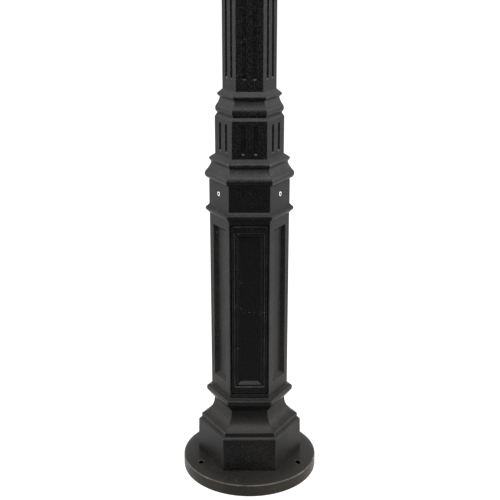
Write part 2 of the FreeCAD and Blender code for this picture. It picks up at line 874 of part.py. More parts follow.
def board_screw_places():
    return ("0", "door_middle - board_screw_spacing / 2"), ("0", "door_middle + board_screw_spacing / 2")


def pedestal_bosses(body):
    """Bosses in the foot for the base screws, and on the back wall for the board and the earth stud."""
    foot = new_sketch(body, "base_boss_outline", "XY_Plane")
    draw_circles(foot, "base_boss", circle_place("base_screw_circle", 0))
    threads = new_sketch(body, "base_thread_outline", "XY_Plane")
    draw_circles(threads, "base_screw + 2 * thread_gap", circle_place("base_screw_circle", 0))
    around(body, "base_bosses", [pad(body, "base_boss", foot, "base_boss_height")], RING_COUNT)
    thread = pocket(body, "base_thread", threads, "base_screw_bite + cut_margin", back=True)
    around(body, "base_threads", [thread], RING_COUNT)
    face = "-(back_wall - board_boss_height)"
    root = "board_boss_height + (column_wall - panel_depth) / 2"
    board = new_sketch(body, "board_boss_outline", "XZ_Plane", along=face)
    draw_circles(board, "board_boss", *board_screw_places())
    pad(body, "board_bosses", board, root, back=True)
    earth = new_sketch(body, "earth_boss_outline", "XZ_Plane", along=face)
    draw_circles(earth, "earth_boss", ("0", "door_middle - earth_drop"))
    pad(body, "earth_boss", earth, root, back=True)
    board_threads = new_sketch(body, "board_thread_outline", "XZ_Plane", along=face)
    draw_circles(board_threads, "board_screw + 2 * thread_gap", *board_screw_places())
    pocket(body, "board_threads", board_threads, "board_screw_bite + slip_gap")
    earth_thread = new_sketch(body, "earth_thread_outline", "XZ_Plane", along=face)
    draw_circles(earth_thread, "earth_stud + 2 * thread_gap", ("0", "door_middle - earth_drop"))
    pocket(body, "earth_thread", earth_thread, "board_boss_height - slip_gap")


def base_screws():
    bite = "pedestal_seat - base_screw_recess + base_screw_bite"
    screw_ring("base_screws", "base_screw_recess", circle_place("base_screw_circle", 0), "base_screw", bite)


def access_door():
    """Flush door with a stepped border, a sunk panel and two screw holes."""
    body = new_body("access_door", rise="pedestal_seat")
    face = new_sketch(body, "face_outline", "XZ_Plane", along="front_face")
    draw_rectangle(face, "-door_width / 2", "door_low", "door_width / 2", "door_top", "door_corner")
    pad(body, "leaf", face, "door_thickness", back=True)
    step = new_sketch(body, "step_outline", "XZ_Plane", along="front_face")
    half = "(door_width / 2 - door_border)"
    draw_rectangle(step, f"-{half}", "door_low + door_border_end", half, "door_top - door_border_end")
    pocket(body, "step", step, "door_border_step")
    panel = new_sketch(body, "panel_outline", "XZ_Plane", along="front_face - door_border_step")
    draw_panel(panel)
    pocket(body, "panel", panel, "panel_depth - door_border_step", bevel="panel_bevel")
    holes = new_sketch(body, "screw_outline", "XZ_Plane", along="front_face")
    draw_circles(holes, "door_screw + 2 * thread_gap", *door_screw_places())
    pocket(body, "screw_holes", holes, "door_thickness")
    sinks = new_sketch(body, "sink_outline", "XZ_Plane", along="front_face")
    draw_circles(sinks, "door_screw_head + 2 * thread_gap", *door_screw_places())
    pocket(body, "screw_sinks", sinks, "door_screw_head_height + door_screw_sink")


def door_seal():
    """Flat rubber ring between the door and the ledge of the rebate."""
    body = new_body("door_seal", rise="pedestal_seat")
    outline = new_sketch(body, "outline", "XZ_Plane", along="front_face - door_thickness")
    half = "(door_width / 2 - seal_inset)"
    draw_rectangle(outline, f"-{half}", "door_low + seal_inset", half, "door_top - seal_inset",
                   "door_corner")
    inner = "(door_width / 2 - door_ledge)"
    draw_rectangle(outline, f"-{inner}", "door_low + door_ledge_end", inner, "door_top - door_ledge_end")
    draw_circles(outline, "door_screw + 2 * thread_gap", *door_screw_places())
    pad(body, "ring", outline, "seal_thickness", back=True)


def door_screws():
    seat = "front_face - door_screw_sink - door_screw_head_height"
    bite = "door_wall - door_screw_head_height - door_screw_sink"
    screw_pair("door_screws", "XZ_Plane", seat, door_screw_places(), "door_screw", bite, True,
               "pedestal_seat")


def connection_board():
    """Board on the back wall with its screws, a terminal block, a fuse carrier and the earth stud."""
    board = new_body("terminal_board", rise="pedestal_seat")
    outline = new_sketch(board, "outline", "XZ_Plane", along="-(board_front + board_thickness)")
    draw_rectangle(outline, "-board_width / 2", "door_middle - board_height / 2", "board_width / 2",
                   "door_middle + board_height / 2")
    draw_circles(outline, "board_screw + 2 * thread_gap", *board_screw_places())
    pad(board, "plate", outline, "board_thickness")
    screw_pair("board_screws", "XZ_Plane", "-(board_front)", board_screw_places(), "board_screw",
               "board_thickness + board_screw_bite", True, "pedestal_seat")
    terminal_block()
    fuse = new_body("fuse_carrier", rise="pedestal_seat")
    outline = new_sketch(fuse, "outline", "XZ_Plane", along="-board_front")
    middle = "door_middle - fuse_drop"
    draw_rectangle(outline, "-fuse_width / 2", f"{middle} - fuse_height / 2", "fuse_width / 2",
                   f"{middle} + fuse_height / 2")
    pad(fuse, "case", outline, "fuse_depth")
    earth_stud()


def terminal_places():
    ways = [f"{way} * block_way_pitch" for way in (-1, 0, 1)]
    rows = [f"door_middle + block_lift + {row} * block_way_spacing / 2" for row in (-1, 1)]
    return [(way, row) for way in ways for row in rows]


def terminal_block():
    body = new_body("terminal_block", rise="pedestal_seat")
    outline = new_sketch(body, "outline", "XZ_Plane", along="-board_front")
    middle = "door_middle + block_lift"
    draw_rectangle(outline, "-block_width / 2", f"{middle} - block_height / 2", "block_width / 2",
                   f"{middle} + block_height / 2")
    pad(body, "case", outline, "block_depth")
    front = "-(board_front - block_depth)"
    wells = new_sketch(body, "well_outline", "XZ_Plane", along=front)
    draw_circles(wells, "terminal_screw + 2 * thread_gap", *terminal_places())
    pocket(body, "wells", wells, "terminal_screw_sink + terminal_screw_length")
    screws = new_body("terminal_screws", several=True, rise="pedestal_seat")
    heads = new_sketch(screws, "outline", "XZ_Plane", along=f"{front} - terminal_screw_sink")
    draw_circles(heads, "terminal_screw", *terminal_places())
    pad(screws, "screws", heads, "terminal_screw_length", back=True)


def earth_stud():
    """Threaded stud with a locking nut against its boss."""
    body = new_body("earth_stud", rise="pedestal_seat")
    face = "-(back_wall - board_boss_height)"
    place = ("0", "door_middle - earth_drop")
    nut = new_sketch(body, "nut_outline", "XZ_Plane", along=face, up=place[1])
    draw_hexagon(nut, "earth_nut_flats")
    pad(body, "nut", nut, "earth_nut_height")
    root = "board_boss_height - 2 * slip_gap"
    stud = new_sketch(body, "stud_outline", "XZ_Plane", along=f"{face} - ({root})")
    draw_circles(stud, "earth_stud", place)
    pad(body, "stud", stud, "earth_stud_length")


def collar():
    body = new_body("collar", rise="collar_seat")
    profile, arcs = ogee_profile("collar", "drum_flats")
    profile += [("drum_flats / 2", "drum_top"), ("shaft_foot_flats / 2", "collar_height")]
    moulded_block(body, "collar_nose_flats + 2 * cut_margin", profile, arcs)
    hexagon_block(body, "spigot", "band_bore - 2 * slip_gap", "-spigot_depth", "spigot_depth + collar_step")
    round_hollow(body, "bore", "collar_bore", "-spigot_depth", "spigot_depth + socket_floor - collar_web")
    hexagon_hollow(body, "socket", "socket_flats", "socket_floor", "tenon_depth")
    round_hollow(body, "web_hole", "collar_web_hole", "socket_floor - collar_web", "collar_web")
    holes = new_sketch(body, "bolt_outline", "XY_Plane", along="socket_floor - collar_web")
    draw_circles(holes, "shaft_bolt + 2 * thread_gap", circle_place("shaft_bolt_circle", 0))
    around(body, "bolt_holes", [pocket(body, "bolt_hole", holes, "collar_web", back=True)], RING_COUNT)
    flutes(body, "flutes", "drum_flats", "drum_flute_offset", "drum_low + drum_flute_end",
           "drum_top - drum_flute_end")


def shaft():
    body = new_body("shaft", rise="shaft_seat")
    profile, arcs = ogee_profile("shaft_foot", "shaft_flats")
    profile.append(("shaft_flats / 2", "shaft_top"))
    moulded_block(body, "shaft_foot_nose_flats + 2 * cut_margin", profile, arcs)
    tenon = "tenon_depth - slip_gap"
    hexagon_block(body, "tenon", "tenon_flats", f"-({tenon})", f"{tenon} + shaft_foot_step")
    floor_top = "tenon_floor - tenon_depth"
    hexagon_hollow(body, "bore", "shaft_bore", floor_top, f"shaft_top - ({floor_top})")
    round_hollow(body, "wire_hole", "tenon_hole", "-tenon_depth", "tenon_floor")
    holes = new_sketch(body, "bolt_outline", "XY_Plane", along="-tenon_depth")
    draw_circles(holes, "shaft_bolt + 2 * thread_gap", circle_place("shaft_bolt_circle", 0))
    around(body, "bolt_holes", [pocket(body, "bolt_hole", holes, "tenon_floor", back=True)], RING_COUNT)
    flutes(body, "flutes", "shaft_flats", "shaft_flute_offset", "shaft_low + shaft_flute_low",
           "shaft_top - shaft_flute_high")
    radial_holes(body, "set_screw_hole", "shaft_top - capital_set_height", "set_screw + 2 * thread_gap",
                 "shaft_flats / 2", "shaft_wall + cut_margin")


def shaft_bolts():
    seat = "socket_floor - collar_web"
    bite = "collar_web + slip_gap + shaft_bolt_bite"
    place = circle_place("shaft_bolt_circle", 0)
    screw_ring("shaft_bolts", seat, place, "shaft_bolt", bite, rise="collar_seat")


def capital():
    body = new_body("capital", rise="capital_seat")
    profile = [
        ("capital_flats / 2", "0"),
        ("capital_flats / 2", "capital_step"),
        ("capital_nose_flats / 2", "capital_nose_low"),
        ("capital_nose_flats / 2", "capital_nose_high"),
        ("capital_neck_flats / 2", "capital_neck_low"),
        ("capital_neck_flats / 2", "capital_sweep_low"),
        ("capital_top_flats / 2", "capital_sweep_top"),
        ("capital_top_flats / 2", "capital_height"),
    ]
    moulded_block(body, "capital_top_flats", profile,
                  {2: ("capital_nose_round", 1), 5: ("capital_sweep_round", -1)})
    hexagon_block(body, "spigot", "shaft_bore - 2 * slip_gap", "-capital_spigot",
                  "capital_spigot + capital_step")
    round_hollow(body, "bore", "capital_bore", "-capital_spigot", "capital_spigot + capital_height")
    round_hollow(body, "hollow", "capital_hollow", "-capital_spigot",
                 "capital_spigot + capital_height - capital_crown")
    threads = new_sketch(body, "thread_outline", "XY_Plane", along="capital_height")
    draw_circles(threads, "hub_bolt + 2 * thread_gap", circle_place("hub_bolt_circle", 90))
    around(body, "threads", [pocket(body, "thread", threads, "hub_bolt_bite + cut_margin")], RING_COUNT)


def arm_hub():
    """Hexagonal cup with a flat face towards each arm, bolted down through its floor."""
    body = new_body("arm_hub", rise="hub_seat")
    hexagon_block(body, "block", "hub_flats", "0", "hub_height", corners_on_x=False)
    round_hollow(body, "bore", "hub_bore", "hub_floor", "hub_height - hub_floor")
    round_hollow(body, "wire_hole", "capital_bore", "0", "hub_floor")
    holes = new_sketch(body, "bolt_outline", "XY_Plane")
    draw_circles(holes, "hub_bolt + 2 * thread_gap", circle_place("hub_bolt_circle", 90))
    around(body, "bolt_holes", [pocket(body, "bolt_hole", holes, "hub_floor", back=True)], RING_COUNT)
    ways = new_sketch(body, "arm_way_outline", "YZ_Plane")
    draw_circles(ways, "arm_bore", ("0", "hub_height / 2"))
    pocket(body, "arm_ways", ways, "2 * hub_flats", both=True)
    threads = new_sketch(body, "arm_thread_outline", "YZ_Plane")
    draw_circles(threads, "arm_bolt + 2 * thread_gap", ("0", "hub_height / 2 + arm_bolt_spacing / 2"),
                 ("0", "hub_height / 2 - arm_bolt_spacing / 2"))
    pocket(body, "arm_threads", threads, "2 * hub_flats", both=True)
    screw_ring("hub_bolts", "hub_floor", circle_place("hub_bolt_circle", 90), "hub_bolt",
               "hub_floor + hub_bolt_bite", True, "hub_seat")


def turned_finial(label, rise, plug, plug_depth, name, shift="0"):
    """Turned ornament: plug, disc, ball and spire."""
    body = new_body(label, rise=rise, shift=shift)
    radius = f"{name}_ball / 2"
    ball_low = f"{name}_base_height + {name}_neck_height"
    waist = f"{name}_ball / 4"
    reach = f"{name}_ball * sqrt(3) / 4"
    points = [
        ("0", f"-({plug_depth})"),
        (f"({plug}) / 2", f"-({plug_depth})"),
        (f"({plug}) / 2", "0"),
        (f"{name}_base / 2", "0"),
        (f"{name}_base / 2", f"{name}_base_height"),
        (waist, ball_low),
        (radius, f"{ball_low} + {reach}"),
        (waist, f"{ball_low} + 2 * {reach}"),
        (f"{name}_tip / 2", f"{ball_low} + 2 * {reach} + {name}_spire"),
        ("0", f"{ball_low} + 2 * {reach} + {name}_spire"),
    ]
    outline = new_sketch(body, "outline", "XZ_Plane")
    draw(outline, points, {5: (radius, 1), 6: (radius, 1)})
    turned(body, "ornament", outline)


def arm(label, turn):
    """Cast arm with a bolted flange, an S-bend and a dished seat for the lantern."""
    body = new_body(label, rise="arm_level", turn=turn)
    face = "hub_flats / 2"
    flange = new_sketch(body, "flange_outline", "YZ_Plane", along=face)
    draw_rectangle(flange, "-arm_flange_width / 2", "-arm_flange_height / 2", "arm_flange_width / 2",
                   "arm_flange_height / 2", "arm_flange_corner")
    pad(body, "flange", flange, "arm_flange")
    spine = new_sketch(body, "spine", "XZ_Plane", right=face)
    points = [
        ("0", "0"),
        ("arm_run", "0"),
        ("arm_dip_reach", "-arm_dip_drop"),
        ("arm_sweep_reach", "arm_sweep_rise"),
        ("arm_sweep_reach", "arm_rise"),
    ]
    edges = draw(spine, points, {1: ("arm_dip_round", -1), 2: ("arm_sweep_round", 1)}, closed=False)

    def pipe(kind, name, diameter):
        section = new_sketch(body, f"{name}_section", "YZ_Plane", along=face)
        draw_circles(section, diameter, ("0", "0"))
        add(body, kind, name, section).Spine = (spine, edges)

    pipe("AdditivePipe", "tube", "arm_tube")
    arm_seat(body, face)
    pipe("SubtractivePipe", "bore", "arm_bore")
    holes = new_sketch(body, "bolt_outline", "YZ_Plane", along=face)
    draw_circles(holes, "arm_bolt + 2 * thread_gap", *arm_bolt_places())
    pocket(body, "bolt_holes", holes, "arm_flange", back=True)


def arm_seat(body, face):
    """Cone and rim on top of the arm."""
    outline = new_sketch(body, "seat_outline", "XZ_Plane", right=f"{face} + arm_sweep_reach")
    rim = "arm_rise - arm_seat_rim"
    points = [
        ("0", f"{rim} - arm_seat_cone"),
        ("arm_seat_neck / 2", f"{rim} - arm_seat_cone"),
        ("arm_seat / 2", rim),
        ("arm_seat / 2", "arm_rise"),
        ("0", "arm_rise"),
    ]
    draw(outline, points)
    turned(body, "seat", outline)


def arm_bolt_places():
    return ("0", "arm_bolt_spacing / 2"), ("0", "-arm_bolt_spacing / 2")


def arm_bolts(label, turn):
    screw_pair(label, "YZ_Plane", "hub_flats / 2 + arm_flange", arm_bolt_places(), "arm_bolt",
               "arm_flange + arm_bolt_bite", True, "arm_level", turn)


def lantern_base(side, shift):
    """Dished hexagonal base, the nipple that holds it to the arm and the nut on the nipple."""
    body = new_body(f"lantern_base_{side}", rise="lantern_seat", shift=shift)
    profile = [
        ("lantern_base_foot_flats / 2", "0"),
        ("lantern_base_flats / 2", "lantern_base_flare"),
        ("lantern_base_flats / 2", "lantern_base_height"),
    ]
    moulded_block(body, "lantern_base_flats", profile, {0: ("lantern_base_round", -1)})
    hexagon_hollow(body, "sink", "lantern_base_sink_flats", "lantern_base_floor",
                   "lantern_base_height - lantern_base_floor")
    round_hollow(body, "nipple_hole", "arm_bore", "0", "lantern_base_floor")
    ring = cage_ring_radius()
    screws = new_sketch(body, "screw_outline", "XY_Plane")
    draw_circles(screws, "cage_screw + 2 * thread_gap", ("0", ring))
    recess = new_sketch(body, "recess_outline", "XY_Plane")
    draw_circles(recess, "cage_screw_head + 2 * slip_gap", ("0", ring))
    cuts = [
        pocket(body, "screw_hole", screws, "lantern_base_height", back=True),
        pocket(body, "screw_recess", recess, "lantern_base_flare", back=True),
    ]
    around(body, "screw_holes", cuts, RING_COUNT)
    nipple = new_body(f"nipple_{side}", rise="lantern_seat", shift=shift)
    section = new_sketch(nipple, "section", "XY_Plane", along="-nipple_bite")
    draw_circles(section, "nipple", ("0", "0"))
    draw_circles(section, "nipple_bore", ("0", "0"))
    pad(nipple, "tube", section, "nipple_bite + nut_top + nipple_proud")
    nut = new_body(f"nipple_nut_{side}", rise="lantern_seat", shift=shift)
    outline = new_sketch(nut, "outline", "XY_Plane", along="lantern_base_floor")
    draw_hexagon(outline, "nipple_nut_flats")
    draw_circles(outline, "nipple + 2 * thread_gap", ("0", "0"))
    pad(nut, "nut", outline, "nipple_nut_height")


def cage_ring_radius():
    return "(cage_low_flats - cage_wall) / 2"


def tapered_hollow(body, name, sections):
    """A hexagonal hollow between levels, each with its own width across flats."""
    outlines = []
    for number, (flats, level) in enumerate(sections):
        outline = new_sketch(body, f"{name}_section_{number}", "XY_Plane", along=level)
        draw_hexagon(outline, flats)
        outlines.append(outline)
    loft = add(body, "SubtractiveLoft", name, outlines[0])
    loft.Sections = outlines[1:]
    loft.Ruled = True


def lantern_cage(side, shift):
    """Six sloping posts between two rails, with a hinge leaf at the back."""
    body = new_body(f"lantern_cage_{side}", rise="lantern_seat + lantern_base_height", shift=shift)
    profile = [("cage_low_flats / 2", "0"), ("cage_top_flats / 2", "cage_height")]
    moulded_block(body, "cage_top_flats", profile)
    inner_low = "cage_low_flats - 2 * cage_wall"
    inner_top = "cage_top_flats - 2 * cage_wall"
    tapered_hollow(body, "hollow", [(inner_low, "0"), (inner_top, "cage_height")])
    window = new_sketch(body, "window_outline", "XZ_Plane")
    low_half = "(cage_low_flats + cage_slope * cage_rail) / sqrt(12) - cage_post"
    top_half = "(cage_top_flats - cage_slope * cage_rail) / sqrt(12) - cage_post"
    top = "cage_height - cage_rail"
    points = [
        (f"-({low_half})", "cage_rail"),
        (low_half, "cage_rail"),
        (top_half, top),
        (f"-({top_half})", top),
    ]
    draw(window, points)
    around(body, "windows", [pocket(body, "window", window, "cage_top_flats", back=True)])
    threads = new_sketch(body, "thread_outline", "XY_Plane")
    draw_circles(threads, "cage_screw + 2 * thread_gap", ("0", cage_ring_radius()))
    thread = pocket(body, "thread", threads, "cage_screw_bite + slip_gap", back=True)
    around(body, "threads", [thread], RING_COUNT)
    leaf = new_sketch(body, "leaf_outline", "YZ_Plane", up="cage_height")
    radius = "hinge_knuckle / 2"
    root = "cage_top_flats / 2 - cage_wall / 2"
    points = [
        (root, "-hinge_leaf"),
        ("hinge_reach", f"-{radius}"),
        (f"hinge_reach + {radius}", "0"),
        ("hinge_reach", radius),
        (f"hinge_reach - {radius}", "0"),
        (f"hinge_reach - {radius}", "-hinge_leaf_gap"),
        (root, "-hinge_leaf_gap"),
    ]
    draw(leaf, points, {1: (radius, 1), 2: (radius, 1), 3: (radius, 1)})
    pad(body, "leaf", leaf, "hinge_leaf_width", both=True)
    eye = new_sketch(body, "eye_outline", "YZ_Plane", up="cage_height")
    draw_circles(eye, "hinge_pin + 2 * pin_gap", ("hinge_reach", "0"))
    pocket(body, "eye", eye, "hinge_leaf_width", both=True)


def cage_screws(side, shift):
    screw_ring(f"cage_screws_{side}", "lantern_base_flare", ("0", cage_ring_radius()), "cage_screw",
               "lantern_base_rim + cage_screw_bite", rise="lantern_seat", shift=shift)


def glass_panes(side, shift):
    """Six panes that stand on the base and lean against the inside of the cage."""
    seat = "lantern_seat + lantern_base_height"
    body = new_body(f"glass_panes_{side}", several=True, rise=seat, shift=shift)
    outer_low = "cage_low_flats - 2 * (cage_wall + glass_gap)"
    top = "cage_height - glass_top_margin"
    outer_top = f"{outer_low} + cage_slope * ({top})"
    moulded_block(body, outer_top, [(f"({outer_low}) / 2", "0"), (f"({outer_top}) / 2", top)])
    sections = [(f"{outer_low} - 2 * glass_thickness", "0"), (f"{outer_top} - 2 * glass_thickness", top)]
    tapered_hollow(body, "hollow", sections)
    slot = new_sketch(body, "corner_outline", "XY_Plane")
    half = "glass_corner_gap / 2"
    draw_rectangle(slot, "0", f"-{half}", "cage_top_flats", half)
    around(body, "corners", [pocket(body, "corner", slot, top, back=True)])


def lamp(side, shift):
    """Lamp holder on the nipple, and the lamp's screw cap and glass bulb."""
    holder = new_body(f"lamp_holder_{side}", rise="lantern_seat", shift=shift)
    outline = new_sketch(holder, "outline", "XZ_Plane", up="nut_top")
    well = "nipple / 2 + slip_gap"
    bore = "cap_diameter / 2 + cap_gap"
    points = [
        (well, "0"),
        ("holder_foot / 2", "0"),
        ("holder_foot / 2", "holder_foot_height"),
        ("holder_diameter / 2", "holder_foot_height"),
        ("holder_diameter / 2", "holder_height"),
        (bore, "holder_height"),
        (bore, "holder_floor"),
        ("0", "holder_floor"),
        ("0", "nipple_proud + slip_gap"),
        (well, "nipple_proud + slip_gap"),
    ]
    draw(outline, points)
    turned(holder, "case", outline)
    cap = new_body(f"bulb_cap_{side}", rise="lantern_seat", shift=shift)
    outline = new_sketch(cap, "outline", "XZ_Plane", up="cap_low")
    points = [
        ("0", "0"),
        ("cap_tip / 2", "0"),
        ("cap_diameter / 2", "cap_tip_height"),
        ("cap_diameter / 2", "cap_tip_height + cap_height"),
        ("0", "cap_tip_height + cap_height"),
    ]
    draw(outline, points)
    turned(cap, "shell", outline)
    bulb(side, shift)


def bulb(side, shift):
    """Thin glass envelope: a straight neck and a round globe, open where the cap closes it."""
    body = new_body(f"bulb_{side}", rise="lantern_seat", shift=shift)
    outline = new_sketch(body, "outline", "XZ_Plane", up="cap_top")
    radius = "bulb_diameter / 2"
    neck = "bulb_neck / 2"
    inside = f"({radius} - bulb_wall)"
    throat = f"({neck} - bulb_wall)"
    middle = f"bulb_neck_height + sqrt(pow({radius}; 2) - pow({neck}; 2))"
    throat_top = f"{middle} - sqrt(pow({inside}; 2) - pow({throat}; 2))"
    points = [
        (throat, "0"),
        (neck, "0"),
        (neck, "bulb_neck_height"),
        (radius, middle),
        ("0", f"{middle} + {radius}"),
        ("0", f"{middle} + {inside}"),
        (inside, middle),
        (throat, throat_top),
    ]
    draw(outline, points, {2: (radius, 1), 3: (radius, 1), 5: (inside, -1), 6: (inside, -1)})
    turned(body, "envelope", outline)


def lantern_roof(side, shift):
    """Hollow hexagonal roof that turns on two ears at the back."""
    body = new_body(f"lantern_roof_{side}", rise="lantern_seat + cage_top", shift=shift)
    profile = [
        ("roof_eave_flats / 2", "0"),
        ("roof_eave_flats / 2", "roof_fascia"),
        ("roof_shoulder_flats / 2", "roof_shoulder"),
        ("roof_crown_flats / 2", "roof_crown_low"),
        ("roof_crown_flats / 2", "roof_height"),
    ]
    moulded_block(body, "roof_eave_flats", profile)
    sections = [
        ("roof_mouth_flats", "0"),
        ("roof_mouth_flats", "roof_mouth_top"),
        ("roof_shoulder_flats - 2 * roof_wall", "roof_shoulder"),
        ("roof_shoulder_flats - roof_crown_ratio * roof_crown_hollow - 2 * roof_wall",
         "roof_shoulder + roof_crown_hollow"),
    ]
    tapered_hollow(body, "hollow", sections)
    round_hollow(body, "finial_hole", "roof_finial_stem + 2 * thread_gap", "roof_height - roof_finial_grip",
                 "roof_finial_grip")
    radius = "hinge_knuckle / 2"
    root = "roof_eave_flats / 2 - hinge_ear_root"
    points = [
        (root, "0"),
        (f"hinge_reach - {radius}", "0"),
        ("hinge_reach", f"-{radius}"),
        (f"hinge_reach + {radius}", "0"),
        ("hinge_reach", radius),
        (root, "hinge_ear_height"),
    ]
    for name, start in (("right", "hinge_ear_low"), ("left", "-hinge_ear_high")):
        ear = new_sketch(body, f"ear_{name}_outline", "YZ_Plane", along=start)
        draw(ear, points, {1: (radius, 1), 2: (radius, 1), 3: (radius, 1)})
        pad(body, f"ear_{name}", ear, "hinge_ear_width")
    eye = new_sketch(body, "eye_outline", "YZ_Plane")
    draw_circles(eye, "hinge_pin + 2 * pin_gap", ("hinge_reach", "0"))
    pocket(body, "eyes", eye, "3 * hinge_ear_high", both=True)


def hinge_pin(side, shift):
    body = new_body(f"hinge_pin_{side}", rise="lantern_seat + cage_top", shift=shift)
    centre = ("hinge_reach", "0")
    outer = "hinge_ear_high + hinge_side_gap"
    shank = new_sketch(body, "shank_outline", "YZ_Plane")
    draw_circles(shank, "hinge_pin", centre)
    pad(body, "shank", shank, f"2 * ({outer})", both=True)
    for name, start in (("right", outer), ("left", f"-({outer}) - hinge_pin_head_height")):
        head = new_sketch(body, f"head_{name}_outline", "YZ_Plane", along=start)
        draw_circles(head, "hinge_pin_head", centre)
        pad(body, f"head_{name}", head, "hinge_pin_head_height")


def lantern(side, shift):
    lantern_base(side, shift)
    lantern_cage(side, shift)
    cage_screws(side, shift)
    glass_panes(side, shift)
    lamp(side, shift)
    lantern_roof(side, shift)
    hinge_pin(side, shift)
    turned_finial(f"roof_finial_{side}", "lantern_seat + cage_top + roof_height", "roof_finial_stem",
                  "roof_finial_grip", "roof_finial", shift)


def check_and_write():
    """Stops at anything that failed to build, then writes one file for each sub-part."""
    doc.recompute()
    for item in doc.Objects:
        if "Invalid" in item.State or "Error" in item.State:
            raise RuntimeError(f"{item.Label} failed: {item.State}")
    os.makedirs("parts", exist_ok=True)
    for body in subparts:
        if body.Shape.isNull() or not body.Shape.isValid():
            raise RuntimeError(f"{body.Label} has no valid shape")
        body.Shape.exportStep(f"parts/{body.Label}.step")
        print(body.Label, len(body.Shape.Solids), "solids", round(body.Shape.Volume / 1000, 2), "cm3")


base_plate()
base_screws()
pedestal()
access_door()
door_seal()
door_screws()
connection_board()
collar()
radial_screws("collar_set_screws", "collar_seat", "-set_screw_height", "band_bore / 2 - slip_gap",
              "band_flats / 2 + set_screw_proud")
shaft()
shaft_bolts()
capital()
radial_screws("capital_set_screws", "capital_seat", "-capital_set_height", "shaft_bore / 2 - slip_gap",
              "shaft_flats / 2 + set_screw_proud")
arm_hub()
turned_finial("hub_finial", "hub_seat + hub_height", "hub_bore - 2 * slip_gap", "finial_plug", "finial")
for side, turn, shift in (("right", 0, "lantern_reach"), ("left", 180, "-(lantern_reach)")):
    arm(f"arm_{side}", turn)
    arm_bolts(f"arm_bolts_{side}", turn)
    lantern(side, shift)
check_and_write()
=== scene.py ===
"""Double head lamp post: the looks of its castings, screws, lanterns and connection board."""

import json
import math

import bpy
from bpy.props import FloatProperty, FloatVectorProperty, PointerProperty
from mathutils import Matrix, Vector


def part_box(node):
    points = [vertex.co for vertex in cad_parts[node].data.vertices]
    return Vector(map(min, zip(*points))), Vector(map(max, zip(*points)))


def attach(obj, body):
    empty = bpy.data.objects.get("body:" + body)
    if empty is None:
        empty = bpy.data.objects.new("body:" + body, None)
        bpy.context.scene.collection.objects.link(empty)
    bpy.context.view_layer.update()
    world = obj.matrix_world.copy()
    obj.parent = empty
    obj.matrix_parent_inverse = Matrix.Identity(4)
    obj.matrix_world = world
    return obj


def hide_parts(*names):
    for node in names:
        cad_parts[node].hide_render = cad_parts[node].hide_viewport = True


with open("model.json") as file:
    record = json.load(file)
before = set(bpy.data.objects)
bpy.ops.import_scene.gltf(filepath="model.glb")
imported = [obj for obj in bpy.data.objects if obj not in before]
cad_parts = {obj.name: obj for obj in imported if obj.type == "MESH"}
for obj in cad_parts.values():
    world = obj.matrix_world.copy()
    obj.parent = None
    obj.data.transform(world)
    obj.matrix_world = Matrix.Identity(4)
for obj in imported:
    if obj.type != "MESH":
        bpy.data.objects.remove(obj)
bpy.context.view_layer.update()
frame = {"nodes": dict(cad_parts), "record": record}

bl_info = {
    "name": "Double head lamp post",
    "version": (1, 0, 0),
    "blender": (4, 5, 0),
    "location": "View3D > Sidebar > Lamp post",
    "description": "Models the castings, fittings and finishes of a double head lamp post",
    "category": "Object",
}

MM = 0.001
SIDES = ("left", "right")

# Faces of a hexagonal casting, and how many of a screw or hole stand round the post
FACES = 6
RING = 3
HALF_CORNER = math.radians(30)
COS30 = math.cos(HALF_CORNER)
TAN30 = math.tan(HALF_CORNER)

# The note on each face: rubbed wear with a painted highlight from 0 to 1, or painted shade
WEAR_HIGHLIGHT_SHADE_NOTE = "wear_highlight_and_shade"
PAINTED_SHADE_NOTE = -1.0

# Widest face that counts as an edge, turns at which its wear and painted highlight start and
# are full, and the share of them that long edges keep
NARROW = 1.0 * MM
WEAR_AND_HIGHLIGHT_STARTS = math.radians(18)
WEAR_AND_HIGHLIGHT_FULL = math.radians(50)
LONG_EDGE = 20 * MM
LONG_EDGE_WEAR_AND_HIGHLIGHT = 0.6

# Turns past which an edge is bevelled, shaded sharp or eased in a profile, the share of the
# stretch beside it that an eased corner may take, and the steps round a corner
BEVEL_ANGLE = math.radians(40)
SHARP_ANGLE = math.radians(32)
EASE_ANGLE = math.radians(12)
EASE_SHARE = 0.45
CORNER_STEPS = 4

# A face looks along an axis if its normal's part along it is above this
FACING = 0.9

# Roundings of small edges, play round a screw, and how far cutters reach past a piece
FINE_EDGE = 0.6 * MM
LANTERN_EDGE = 0.9 * MM
SCREW_EDGE = 0.4 * MM
SCREW_PLAY = 0.1 * MM
OVERLAP = 2 * MM
OUTSIDE = 5 * MM
THROUGH = 80 * MM


def length(name, description, millimetres):
    """A size that a user can change, in metres."""
    return FloatProperty(
        name=name, description=description, default=millimetres * MM,
        unit="LENGTH", subtype="DISTANCE", precision=4,
    )


def colour(name, description, value):
    """A finish colour that a user can change."""
    return FloatVectorProperty(
        name=name, description=description, default=(*value, 1.0),
        size=4, subtype="COLOR", min=0.0, max=1.0,
    )


class LampPostCastings(bpy.types.PropertyGroup):
    """Sizes of the castings that the eye meets first."""

    plate_radius: length("Plate radius", "Outer radius of the round base plate", 120)
    plate_rim: length("Plate rim", "Height of the base plate at its rim", 22)
    plate_round: length("Plate edge", "Rounding of the base plate's upper edge", 2.5)
    anchor_radius: length("Anchor circle", "Distance of the anchor holes from the axis", 100)
    anchor_hole: length("Anchor hole", "Radius of an anchor hole", 4.75)
    edge: length("Casting edge", "Rounding of the mouldings' edges", 1.2)
    corner: length("Casting corner", "Length that rounding takes off beside an upright corner", 0.7)
    cut_edge: length("Cut edge", "Rounding of the edges of panels, doorway and flutes", 0.7)
    flute_radius: length("Flute", "Radius of a flute", 3)
    shaft_flute_offset: length("Shaft flute", "Distance of a flute from a shaft face's middle", 8.4)
    drum_flute_offset: length("Drum flute", "Distance of a flute from a drum face's middle", 10.2)
    set_screw: length("Set screw", "Radius of a set screw", 4)
    set_screw_socket: length("Set screw socket", "Half the socket's width across flats", 2)


